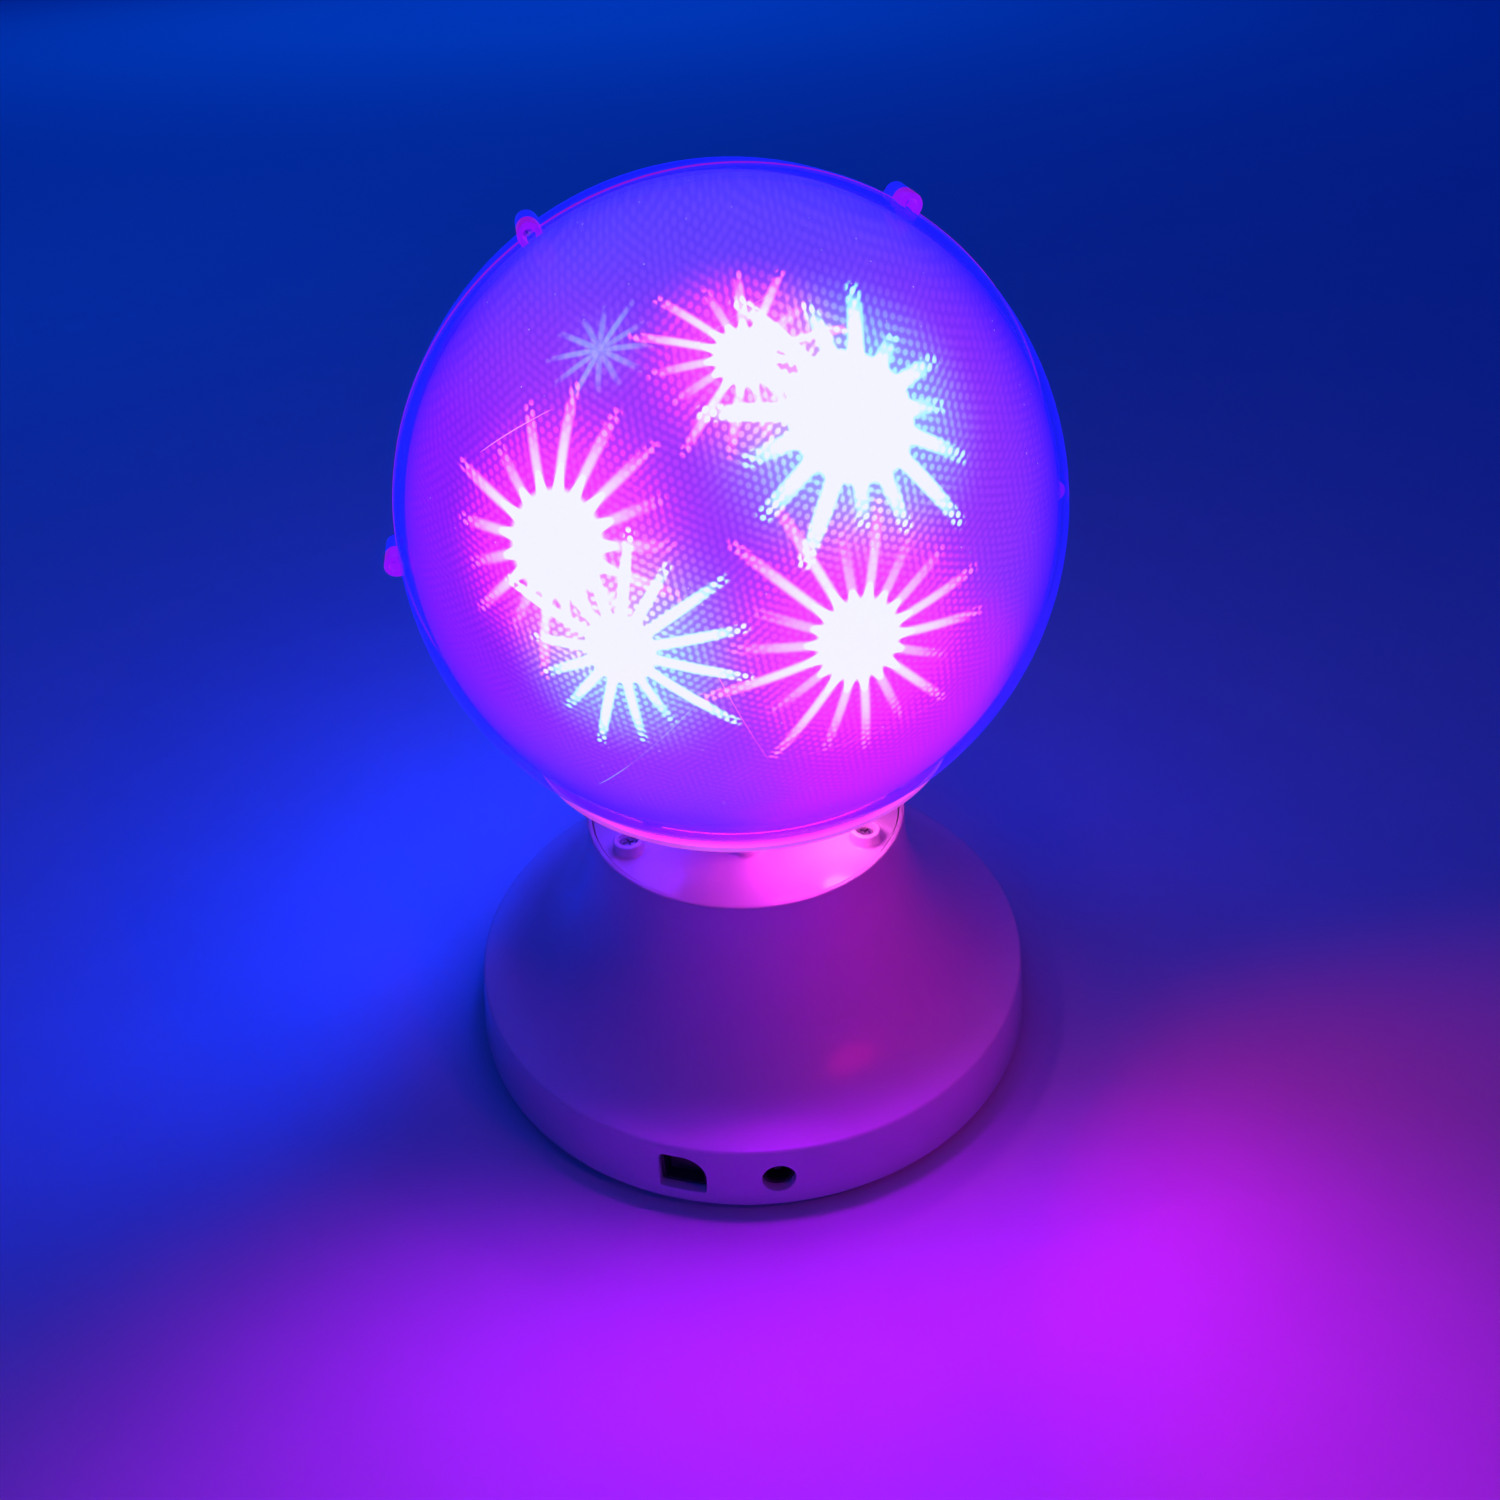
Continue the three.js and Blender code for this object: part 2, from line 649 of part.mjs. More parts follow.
function makeLedMast() {
  const foot = rod(mastFootRadius, mastFootUnder, mastFootTop, 0, 0, 24);
  const plug = rod(spindleBore - gap, mastFootUnder - 7, mastFootUnder + 1, 0, 0, 20);
  const postHeight = mastTop - mastFootTop + 1;
  const postMiddle = mastTop - postHeight / 2;
  const post = block(mastWidth, mastDepth, postHeight, 0, mastFront + mastDepth / 2, postMiddle);
  const bore = rod(cableRadius + gap, mastFootUnder - 8, boardFlat, 0, 0, 12);
  return join(foot, plug, post).subtract(bore);
}

function makeLedBoard() {
  const disc = rodAlongY(ledBoardRadius, -ledBoardThickness / 2, ledBoardThickness / 2, 0, globeCentre, 40);
  const lowCut = block(3 * ledBoardRadius, 10, 2 * ledBoardRadius, 0, 0, boardFlat - ledBoardRadius);
  return disc.subtract(lowCut);
}

// the LEDs' arc starts and ends at the same distance above the board's flat edge
const ledRise = boardFlat + ledFlatInset - globeCentre;
const ledArcStart = THREE.MathUtils.radToDeg(Math.asin(ledRise / ledCircle));
const ledArcLength = 180 - 2 * ledArcStart;

function makeLed(side, angle) {
  const [x, up] = polar(ledCircle, angle);
  const face = ledBoardThickness / 2 + gap;
  const dome = ledLength - ledRadius;
  const led = turned([
    [0, 0], [ledRadius + 0.4, 0], [ledRadius + 0.4, 1], [ledRadius, 1], [ledRadius, dome],
    [0.8 * ledRadius, dome + 0.6 * ledRadius], [0.4 * ledRadius, dome + 0.92 * ledRadius], [0, ledLength],
  ], 10);
  return led.rotate([side < 0 ? 90 : -90, 0, 0]).translate([x, side * face, globeCentre + up]);
}

// ---- electrics in the base ----
const boardUnder = coverTop + 9;
const boardThickness = 1.6;
const boardTop = boardUnder + boardThickness;
const boardWidth = 46;
const boardDepth = 34;
const boardMiddle = 12;          // the board sits this far behind the lamp's axis
const boardPostRadius = 2.5;
const boardPostInset = 4;

function makeBottomCover() {
  let cover = rod(coverRadius, coverUnder, coverTop, 0, 0, 40);
  for (const [x, y] of coverScrewSpots()) {
    cover = cut(cover, rod(coverScrewShank + gap, coverUnder - 1, coverTop + 1, x, y, 12),
      rod(2.2 * coverScrewShank, coverUnder - 1, coverUnder + screwWellDepth, x, y, 20));
  }
  for (const side of [-1, 1]) {
    for (const end of [-1, 1]) {
      const x = side * (boardWidth / 2 - boardPostInset);
      const y = boardMiddle + end * (boardDepth / 2 - boardPostInset);
      cover = join(cover, rod(boardPostRadius, coverTop - 1, boardUnder - gap, x, y, 12));
    }
  }
  return cover;
}

function makeControlBoard() {
  return block(boardWidth, boardDepth, boardThickness, 0, boardMiddle, boardUnder + boardThickness / 2);
}

function makeLedCable() {
  return rod(cableRadius, boardTop + gap, boardFlat - 1, 0, 0, 10);
}

const jackFace = baseRadius - 5.6;    // how far out the front of the jack's body sits
const jackNose = baseRadius - 2.6;    // its round nose stands in the hole in the band
const jackDepth = 13;
const jackWidth = 10;

function makeJack() {
  const bodyHeight = 2 * (jackHeight - coverTop - gap);
  const body = block(jackWidth, jackDepth, bodyHeight, 0, -jackFace + jackDepth / 2, jackHeight);
  const nose = rodAlongY(jackHoleRadius - gap, -jackNose, -jackFace + 3, 0, jackHeight, 24);
  const barrel = rodAlongY(jackBarrelRadius, -jackNose - 1, -jackFace + 9, 0, jackHeight, 20);
  const pin = rodAlongY(jackPinRadius, -jackNose + 1.6, -jackFace + 10, 0, jackHeight, 12);
  return facing(join(cut(join(body, nose), barrel), pin), jackAngle);
}

const windowMiddle = (windowLow + windowHigh) / 2;
const switchFace = baseRadius - 6.6;  // how far out the front of the switch's body sits
const switchNose = baseRadius - 2.6;  // its nose stands in the window
const switchDepth = 12;
const noseWall = 0.8;
const pocketInset = gap + noseWall;
const pocketDepth = 7;
const pivotRadius = 0.9;
const pivotFace = switchFace - 1.6;   // distance of the rocker's pivot from the lamp's axis
const pinReach = windowWidth / 2 - 0.4;
const rockerInset = pocketInset + 2 * gap;
const rockerFront = 3.4;              // front of the rocker ahead of its pivot

// the window's outline, drawn in by a margin and pushed back from one face to another
function windowPlug(inset, from, to) {
  const depth = to - from;
  const settings = { depth, bevelEnabled: false, curveSegments: 8 };
  const plug = new THREE.ExtrudeGeometry(windowOutline(-inset), settings);
  plug.rotateX(Math.PI / 2);
  plug.translate(0, to, 0);
  return solid(plug);
}

function crossPin(radius, halfLength) {
  const pin = new THREE.CylinderGeometry(radius, radius, 2 * halfLength, 12);
  pin.rotateZ(Math.PI / 2);
  return solid(pin);
}

function makeSwitchBody() {
  const low = coverTop + gap;
  const high = bandTop - baseWall - 0.5;
  const back = -switchFace + switchDepth;
  const body = block(windowWidth + 3, switchDepth, high - low, 0, back - switchDepth / 2, (low + high) / 2);
  const nose = windowPlug(gap, -switchNose, -switchFace + 1);
  const pocket = windowPlug(pocketInset, -switchNose - 1, -switchFace + pocketDepth);
  const pivots = crossPin(pivotRadius + gap, pinReach + gap).translate([0, -pivotFace, windowMiddle]);
  return facing(cut(join(body, nose), pocket, pivots), switchAngle);
}

// a rocker with a shallow V front and the window's outline, leaning to its "on" side
function makeRocker() {
  const half = (windowHigh - windowLow) / 2 - rockerInset;
  const side = new THREE.Shape();
  side.moveTo(0.6, -half);
  side.lineTo(rockerFront, -half);
  side.lineTo(rockerFront - 0.9, 0);
  side.lineTo(rockerFront, half);
  side.lineTo(0.6, half);
  side.lineTo(-1.8, 0);
  side.closePath();
  const slab = new THREE.ExtrudeGeometry(side, { depth: windowWidth, bevelEnabled: false });
  slab.translate(0, 0, -windowWidth / 2);
  slab.rotateX(Math.PI / 2);
  slab.rotateZ(-Math.PI / 2);
  const shaped = windowPlug(rockerInset, -2 * rockerFront, 2 * rockerFront).translate([0, 0, -windowMiddle]);
  const rocker = join(solid(slab).intersect(shaped), crossPin(pivotRadius, pinReach));
  return facing(rocker.rotate([rockerTilt, 0, 0]).translate([0, -pivotFace, windowMiddle]), switchAngle);
}

// ---- assembly ----
place(lamp, 'base_shell', makeBaseShell(), whitePlastic);
place(lamp, 'top_deck', makeTopDeck(), deckPlastic);
place(lamp, 'bottom_cover', makeBottomCover(), whitePlastic);

const deckScrew = screw(deckBossRadius - bossWall - 0.4, 1.5, deckScrewShank, 7);
deckScrewSpots().forEach(([x, y], index) => {
  place(lamp, `deck_screw_${index + 1}`, deckScrew.translate([x, y, deckScrewSeat + gap]), screwSteel);
});

const coverScrew = screw(2 * coverScrewShank, 1.5, coverScrewShank, 12).rotate([180, 0, 0]);
const coverScrewSeat = coverUnder + screwWellDepth - gap;
coverScrewSpots().forEach(([x, y], index) => {
  place(lamp, `bottom_screw_${index + 1}`, coverScrew.translate([x, y, coverScrewSeat]), screwSteel);
});

[0, 90, 180, 270].forEach((angle, index) => {
  const [x, y] = polar(coverScrewCircle, angle);
  const pad = turned([[0, 0], [footRadius - 0.6, 0], [footRadius, 0.6], [footRadius, footHeight - gap],
    [0, footHeight - gap]], 24);
  place(lamp, `foot_${index + 1}`, pad.translate([x, y, 0]), rubber);
});

place(lamp, 'spindle', makeSpindle(), motorSteel);
place(lamp, 'spindle_nut', makeSpindleNut(), screwSteel);
place(lamp, 'thrust_washer', makeThrustWasher(), gearPlastic);
place(lamp, 'retaining_ring', makeRetainingRing(), screwSteel);

place(lamp, 'gearbox', makeGearbox(), blackPlastic);
place(lamp, 'motor_can', makeMotorCan(), motorSteel);
place(lamp, 'motor_shaft', makeMotorShaft(), screwSteel);
place(lamp, 'drive_pinion', makePinion(), gearPlastic);
const motorScrew = screw(2, 1.2, motorScrewShank, 5).rotate([180, 0, 0]);
motorScrewSpots().forEach(([x, y], index) => {
  const seat = motorPostFoot - gap - motorEarThickness - gap;
  place(lamp, `motor_screw_${index + 1}`, motorScrew.translate([x, y, seat]), screwSteel);
});

place(lamp, 'control_board', makeControlBoard(), boardGreen);
place(lamp, 'board_capacitor', rod(4, boardTop + gap, boardTop + 12, 14, boardMiddle + 8, 20), blackPlastic);
place(lamp, 'board_chip', block(12, 8, 3, -12, boardMiddle + 4, boardTop + gap + 1.5), blackPlastic);
place(lamp, 'led_cable', makeLedCable(), blackPlastic);
place(lamp, 'dc_jack', makeJack(), blackPlastic);
place(lamp, 'switch_body', makeSwitchBody(), blackPlastic);
place(lamp, 'switch_rocker', makeRocker(), blackPlastic);

place(lamp, 'led_mast', makeLedMast(), whitePlastic);
place(lamp, 'led_board', makeLedBoard(), boardGreen);
ledShares.forEach((share, index) => {
  const angle = ledArcStart + share * ledArcLength;
  place(lamp, `led_front_${index + 1}`, makeLed(-1, angle), ledClear);
  place(lamp, `led_rear_${index + 1}`, makeLed(1, angle), ledClear);
});

place(globe, 'globe_collar', makeCollar(), lipPlastic);
place(globe, 'hub_bush', makeHubBush(), bronze);
place(globe, 'ring_gear', makeRingGear().rotate([0, 0, -globeYaw]), gearPlastic);
place(globe, 'globe_front_shell', makeGlobeShell(-1), clearPlastic);
place(globe, 'globe_rear_shell', makeGlobeShell(1), clearPlastic);
place(globe, 'film_front', makeFilm(-1), filmSheet);
place(globe, 'film_rear', makeFilm(1), filmSheet);

const seamScrew = screw(seamHead, 1.4, seamScrewShank, lugLength + 3).rotate([-90, 0, 0]);
lugAngles.forEach((angle, index) => {
  const [x, z] = lugSpot(angle);
  place(globe, `seam_screw_${index + 1}`, seamScrew.translate([x, lugLength + gap, z]), screwSteel);
});

const collarScrew = screw(2.4, 1.5, collarScrewShank, plateThickness + 5).rotate([180, 0, 0]);
shellBossAngles.forEach((angle, index) => {
  const [x, y] = polar(shellBossCircle, angle);
  place(globe, `collar_screw_${index + 1}`, collarScrew.translate([x, y, plateUnder - gap]), screwSteel);
});

export default lamp;
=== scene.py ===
import json
import math

import bpy
from mathutils import Matrix, Vector


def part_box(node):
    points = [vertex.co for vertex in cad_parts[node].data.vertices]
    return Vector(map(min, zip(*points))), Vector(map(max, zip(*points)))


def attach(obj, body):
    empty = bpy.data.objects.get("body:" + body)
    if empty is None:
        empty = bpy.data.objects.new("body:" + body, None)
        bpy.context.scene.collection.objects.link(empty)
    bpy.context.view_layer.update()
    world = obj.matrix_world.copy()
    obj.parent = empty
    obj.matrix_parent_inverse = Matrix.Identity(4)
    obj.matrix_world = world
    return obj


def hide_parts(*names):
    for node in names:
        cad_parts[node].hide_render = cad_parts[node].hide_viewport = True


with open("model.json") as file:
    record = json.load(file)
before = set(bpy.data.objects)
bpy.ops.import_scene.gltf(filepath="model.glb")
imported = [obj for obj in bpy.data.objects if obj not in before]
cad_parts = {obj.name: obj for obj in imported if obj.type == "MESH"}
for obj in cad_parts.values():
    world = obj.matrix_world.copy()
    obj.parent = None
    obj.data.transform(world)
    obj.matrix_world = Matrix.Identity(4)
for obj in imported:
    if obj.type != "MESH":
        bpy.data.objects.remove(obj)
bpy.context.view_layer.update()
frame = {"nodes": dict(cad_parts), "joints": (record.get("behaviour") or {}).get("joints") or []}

mm = 0.001
jointAt = {joint["name"]: Vector(joint["pos_m"]) for joint in frame["joints"]}
globeCentre = jointAt["globe_spin"]


def listed(keys, rows):
    # a settings dictionary from each row
    return [dict(zip(keys, row)) for row in rows]


# camera, floor and lights

cameraSettings = {
    "place": (-0.0005, -0.2652, 0.2733),
    "tiltDown": 35.5,       # degrees below the horizon
    "turn": 0.5,            # degrees towards +X
    "roll": -2.3,
    "lens": 30,
    "sensor": 36,
}


def makeCamera(settings):
    print("camera")
    bpy.ops.object.camera_add(location=settings["place"])
    camera = bpy.context.object
    camera.data.lens = settings["lens"]
    camera.data.sensor_width = settings["sensor"]
    camera.data.clip_start = 0.01
    camera.data.clip_end = 30
    tilt = math.radians(90 - settings["tiltDown"])
    turn = Matrix.Rotation(math.radians(-settings["turn"]), 3, "Z")
    lean = Matrix.Rotation(tilt, 3, "X")
    roll = Matrix.Rotation(math.radians(settings["roll"]), 3, "Z")
    camera.rotation_euler = (turn @ lean @ roll).to_euler()
    bpy.context.scene.camera = camera


def lightAt(name, kind, place, power, colour, size, aim=None):
    bpy.ops.object.light_add(type=kind, location=place)
    light = bpy.context.object
    light.name = name
    light.data.energy = power
    light.data.color = colour
    if kind == "AREA":
        light.data.shape = "DISK"
        light.data.size = size
    else:
        light.data.shadow_soft_size = size
    light.visible_camera = False
    if aim is not None:
        light.rotation_euler = (Vector(aim) - Vector(place)).to_track_quat("-Z", "Y").to_euler()
    return light


studio = {
    "room": (0.0, 0.009, 0.24),         # what the dark blue room itself gives
    "key": {"place": (-0.9, -0.8, 1.6), "power": 0.05, "size": 1.2},
    "fill": {"place": (1.2, 0.6, 1.4), "power": 0.03, "size": 1.4},
    "farBlue": {"place": (-0.5, 3.2, 1.6), "power": 12.0, "size": 3.0, "colour": (0.0, 0.11, 1.0)},
    "farNavy": {"place": (-0.6, 0.7, 0.9), "power": 0.7, "size": 0.6, "colour": (0.0, 0.1, 1.0)},
}

# the light that the LEDs throw: wide beams onto the floor, and a faint blush on the bell's front right
beamKeys = ("name", "side", "aim", "cone", "power", "colour", "size")
throwPlaces = listed(beamKeys, [
    ("throwViolet", (6, -30, 0), (0.02, -0.2, 0.05), 128, 2.0, (0.4, 0.0, 0.9), 18),
    ("throwMagenta", (30, -22, 0), (0.24, -0.17, 0.0), 84, 0.42, (1.0, 0.0, 0.2), 16),
    ("throwBlue", (-34, 26, 0), (-0.3, 0.16, 0.02), 140, 1.8, (0.0, 0.03, 1.0), 22),
    ("throwNavy", (34, 34, 0), (0.3, 0.3, 0.02), 130, 0.3, (0.0, 0.03, 1.0), 22),
    ("throwBlush", (105, -115, -10), (0.035, -0.03, 0.04), 48, 0.2, (1.0, 0.0, 0.25), 30),
])
# the light that comes down onto the deck between the base and the collar
glowKeys = ("name", "place", "power", "colour", "size")
deckGlows = listed(glowKeys, [
    ("glowPink", (12, -30, 84), 0.0042, (1.0, 0.03, 0.8), 14),
    ("glowHot", (25, -20, 84), 0.005, (1.0, 0.12, 0.7), 8),
    ("glowViolet", (-26, -14, 84), 0.004, (0.12, 0.02, 1.0), 16),
    ("glowBack", (6, 34, 84), 0.0035, (0.12, 0.02, 1.0), 16),
])


def makeLights():
    print("lights")
    world = bpy.data.worlds.new("darkRoom")
    world.use_nodes = True
    world.node_tree.nodes["Background"].inputs["Color"].default_value = (*studio["room"], 1)
    bpy.context.scene.world = world
    for name in ("key", "fill"):
        part = studio[name]
        lightAt(name + "Light", "AREA", part["place"], part["power"], (1, 1, 1), part["size"], (0, 0, 0.1))
    for name in ("farBlue", "farNavy"):         # these hang over the far floor and light only that
        part = studio[name]
        below = Vector(part["place"]) - Vector((0, 0, 1))
        made = lightAt(name + "Light", "AREA", part["place"], part["power"], part["colour"], part["size"], below)
        made.data.spread = math.radians(130)
    for part in throwPlaces:
        place = globeCentre + Vector(part["side"]) * mm
        made = lightAt(part["name"], "SPOT", place, part["power"], part["colour"], part["size"] * mm, part["aim"])
        made.data.spot_size = math.radians(part["cone"])
        made.data.spot_blend = 0.7
    for part in deckGlows:
        place = Vector(part["place"]) * mm
        lightAt(part["name"], "AREA", place, part["power"], part["colour"], part["size"] * mm,
                place - Vector((0, 0, 0.05)))


# shader maths

class Value:
    # one socket's output, with Python's own operators standing for Math nodes
    def __init__(self, paint, socket):
        self.paint = paint
        self.socket = socket

    def maths(self, operation, first, second):
        return self.paint.node("Math", {"operation": operation}, {0: first, 1: second})

    def __add__(self, other):
        return self.maths("ADD", self, other)

    def __radd__(self, other):
        return self.maths("ADD", other, self)

    def __sub__(self, other):
        return self.maths("SUBTRACT", self, other)

    def __rsub__(self, other):
        return self.maths("SUBTRACT", other, self)

    def __mul__(self, other):
        return self.maths("MULTIPLY", self, other)

    def __rmul__(self, other):
        return self.maths("MULTIPLY", other, self)

    def __truediv__(self, other):
        return self.maths("DIVIDE", self, other)

    def __rtruediv__(self, other):
        return self.maths("DIVIDE", other, self)

    def __pow__(self, other):
        return self.maths("POWER", self, other)


class Paint:
    # one material's nodes; every node is added by node()
    def __init__(self, name):
        self.material = bpy.data.materials.new(name)
        self.material.use_nodes = True
        self.tree = self.material.node_tree
        self.tree.nodes.clear()
        self.output = self.tree.nodes.new("ShaderNodeOutputMaterial")

    def node(self, kind, settings=None, sockets=None, output=0):
        made = self.tree.nodes.new("ShaderNode" + kind)
        for key, setting in (settings or {}).items():
            if key == "stops":
                self.fillRamp(made.color_ramp, setting)
            else:
                setattr(made, key, setting)
        for key, value in (sockets or {}).items():
            if isinstance(value, Value):
                self.tree.links.new(value.socket, made.inputs[key])
            else:
                made.inputs[key].default_value = value
        return Value(self, made.outputs[output])

    def fillRamp(self, ramp, stops):
        while len(ramp.elements) < len(stops):
            ramp.elements.new(1.0)
        for element, (place, colour) in zip(ramp.elements, stops):
            element.position = place
            element.color = colour

    def place(self):
        return self.node("TexCoord", output="Object")

    def split(self, vector):
        made = self.node("SeparateXYZ", sockets={0: vector}).socket.node
        return [Value(self, socket) for socket in made.outputs]

    def noise(self, scale, detail=4, rough=0.55, vector=None):
        where = vector or self.place()
        return self.node("TexNoise", sockets={"Vector": where, "Scale": scale, "Detail": detail,
                                              "Roughness": rough}, output="Fac")

    def cells(self, scale, vector=None, output="Distance", scatter=1.0):
        where = vector or self.place()
        return self.node("TexVoronoi", sockets={"Vector": where, "Scale": scale, "Randomness": scatter},
                         output=output)

    def fade(self, value, low, high, start=0.0, end=1.0):
        # a smooth step from start at low to end at high
        return self.node("MapRange", {"interpolation_type": "SMOOTHSTEP"},
                         {"Value": value, "From Min": low, "From Max": high, "To Min": start, "To Max": end})

    def stretched(self, scale):
        return self.node("Mapping", sockets={"Vector": self.place(), "Scale": scale})

    def blendColours(self, amount, first, second):
        return self.node("Mix", {"data_type": "RGBA", "clamp_factor": True},
                         {"Factor": amount, 6: opaque(first), 7: opaque(second)}, output=2)

    def vectorMaths(self, operation, first, second=None, output=0):
        sockets = {0: first}
        if second is not None:
            sockets[1] = second
        return self.node("VectorMath", {"operation": operation}, sockets, output)

    def dot(self, first, second):
        return self.vectorMaths("DOT_PRODUCT", first, second, output="Value")

    def tinted(self, colour, amount):
        # a colour vector times a value
        return self.node("VectorMath", {"operation": "SCALE"}, {0: colour, "Scale": amount})

    def bump(self, height, strength, distance):
        return self.node("Bump", sockets={"Height": height, "Strength": strength, "Distance": distance})

    def finish(self, **sockets):
        shader = self.node("BsdfPrincipled", sockets={
            key.replace("_", " "): opaque(value) if key in ("Base_Color", "Emission_Color") else value
            for key, value in sockets.items()})
        self.tree.links.new(shader.socket, self.output.inputs["Surface"])
        return self.material


def opaque(colour):
    return colour if isinstance(colour, Value) else (*colour[:3], 1)


def tone(code):
    # a colour written as a web code, turned to linear light
    parts = [int(code[at:at + 2], 16) / 255 for at in (0, 2, 4)]
    return tuple(part / 12.92 if part <= 0.04045 else ((part + 0.055) / 1.055) ** 2.4 for part in parts)


def aimed(turn, rise):
    # the direction from the globe's centre: turn from the front towards +X, rise above the horizon, degrees
    across, up = math.radians(turn), math.radians(rise)
    return Vector((math.sin(across) * math.cos(up), -math.cos(across) * math.cos(up), math.sin(up)))


# materials

def whitePlastic():
    paint = Paint("mouldedWhite")
    mottle = paint.noise(60, 5)
    specks = paint.fade(paint.cells(900), 0.05, 0.12, 0.82, 1.0)
    colour = paint.blendColours(mottle, tone("e2dfe4"), tone("efecf0"))
    colour = paint.node("Mix", {"data_type": "RGBA", "blend_type": "MULTIPLY"},
                        {"Factor": 0.35, 6: colour, 7: specks}, output=2)
    peel = paint.noise(1400, 3) + 0.6 * paint.noise(90, 4)
    return paint.finish(
        Base_Color=colour,
        Roughness=0.28 + 0.12 * paint.noise(35, 6),
        Coat_Weight=0.25,
        Coat_Roughness=0.12,
        Normal=paint.bump(peel, 0.12, 0.05 * mm),
    )


def deckPlastic():
    paint = Paint("glossyDeck")
    swirl = paint.noise(120, 4)
    scuffs = paint.fade(paint.noise(300, 8, 0.7, paint.stretched((1, 5, 1))), 0.62, 0.7)
    return paint.finish(
        Base_Color=paint.blendColours(swirl, tone("eeebf1"), tone("f7f4f8")),
        Roughness=0.2 + 0.1 * swirl + 0.2 * scuffs,
        Coat_Weight=0.4,
        Coat_Roughness=0.08,
        Normal=paint.bump(paint.noise(900, 3), 0.08, 0.05 * mm),
    )


def fromCentre(paint):
    return paint.vectorMaths("SUBTRACT", paint.place(), tuple(globeCentre))


# the shell's tint, and the colours of its painted glow at the seam rim (front and rear), edge on and along the
# mouth
shellLook = {
    "body": "5a48ff",
    "rimFront": "a010c4",
    "rimRear": "2026ff",
    "edge": "1a12ff",
    "low": "7420ff",
}
mouthLow = -54.05           # the mouth's height from the globe's centre, in mm


def clearShell(name, side):
    # polished clear plastic: thin in the middle and thicker where it is seen edge on, with a painted deep blue glow
    # there; a painted glow along its seam rim and a painted violet glow along its mouth
    paint = Paint(name)
    outward = fromCentre(paint)
    distance = paint.vectorMaths("LENGTH", outward, output="Value")
    # painted glow in the rim colour along the seam rim
    rim = paint.fade(distance, 75.1 * mm, 75.25 * mm)
    edge = paint.node("LayerWeight", sockets={"Blend": 0.32}, output="Facing")
    rimTone = tone(shellLook["rimFront"] if side < 0 else shellLook["rimRear"])
    hairlines = paint.fade(paint.noise(260, 9, 0.75, paint.stretched((1, 0.3, 6))), 0.66, 0.72)
    dust = paint.fade(paint.cells(420), 0.03, 0.06, 1.0, 0.0)
    lit = paint.blendColours(rim, tone(shellLook["edge"]), rimTone)
    # seen edge on, the shell grows more opaque and takes a painted deep blue glow
    edgeOnThickAndGlow = paint.fade(edge, 0.35, 1.0)
    # painted glow: a violet band along the mouth
    low = paint.fade(paint.split(outward)[2], (mouthLow + 3.2) * mm, (mouthLow + 0.6) * mm)
    lit = paint.blendColours(low, lit, tone(shellLook["low"]))
    return paint.finish(
        Base_Color=paint.blendColours(edgeOnThickAndGlow, tone(shellLook["body"]), tone(shellLook["edge"])),
        Roughness=0.06 + 0.25 * hairlines + 0.1 * paint.noise(50, 4),
        Alpha=0.05 + 0.62 * edgeOnThickAndGlow + 0.75 * rim + 0.1 * dust + 0.9 * low,
        Emission_Color=lit,
        Emission_Strength=0.75,
        Normal=paint.bump(paint.noise(40, 3), 0.1, 0.1 * mm),
    )


# each star: where it shows on the film, the size of its white heart and the reach of its rays (in globe radii)
starKeys = ("turn", "rise", "heart", "reach", "rays", "width", "tone", "lean")
frontStars = listed(starKeys, [
    (3.8, 47, 0.085, 0.3, 15, 0.0115, "pink", 0.3),
    (22, 36.7, 0.175, 0.4, 15, 0.02, "cyan", 0.1),
    (-28, 19.5, 0.15, 0.4, 17, 0.015, "pink", 0.6),
    (-17.4, 5.5, 0.1, 0.36, 15, 0.013, "cyan", 0.45),
    (17.7, 5.3, 0.125, 0.42, 18, 0.014, "pink", 0.2),
    (-26.8, 47.4, 0.0, 0.17, 12, 0.009, "ghost", 0.5),
])
rearStars = listed(starKeys, [
    (176, 40, 0.12, 0.3, 15, 0.011, "cyan", 0.4),
    (154, 20, 0.14, 0.31, 15, 0.012, "pink", 0.1),
    (205, 24, 0.09, 0.26, 15, 0.009, "pink", 0.7),
    (194, -2, 0.12, 0.3, 15, 0.0105, "cyan", 0.2),
    (160, -6, 0.08, 0.25, 15, 0.0085, "pink", 0.5),
])
starTones = {
    "pink": (1.0, 0.06, 0.62),
    "cyan": (0.12, 0.72, 1.0),
    "ghost": (0.10, 0.35, 0.9),
}
haloTones = {
    "pink": (1.0, 0.02, 0.42),
    "cyan": (0.03, 0.42, 0.9),
    "ghost": (0.05, 0.25, 0.8),
}
starPower = {"heart": 34.0, "ray": 15.0, "halo": 2.6}
# fine creases in the film, each painted as a bright line of light from one direction to another
frontCreases = [
    {"start": (-47, 29), "end": (-33, 38), "tone": "pink", "power": 6.0},
    {"start": (-4, 4), "end": (4, -15), "tone": "pink", "power": 2.0},
    {"start": (4, -15), "end": (35, -10), "tone": "pink", "power": 1.0},
    {"start": (-8, 48), "end": (14, 57), "tone": "pink", "power": 3.0},
    {"start": (-6, -2), "end": (-28, -26), "tone": "ghost", "power": 1.2},
]
rearCreases = [
    {"start": (150, 42), "end": (172, 52), "tone": "ghost", "power": 2.0},
    {"start": (196, -12), "end": (176, -22), "tone": "pink", "power": 2.0},
]
filmLook = {
    "pitch": 1.3,           # distance between the film's embossed cells
    "middle": "a53afc",
    "limb": "3a12fb",
    "low": "e024f8",
    "high": "5348ff",
    "left": "9416ff",
}


def waves(paint, where, pitch, turn):
    # three sets of parallel waves at 60 degrees to each other make a honeycomb of dots
    total = None
    for step in range(3):
        angle = math.radians(turn + 60 * step)
        run = 2 * math.pi / (pitch * mm)
        line = paint.dot(where, (math.cos(angle) * run, 0, math.sin(angle) * run))
        wave = paint.node("Math", {"operation": "COSINE"}, {0: line})
        total = wave if total is None else total + wave
    return total


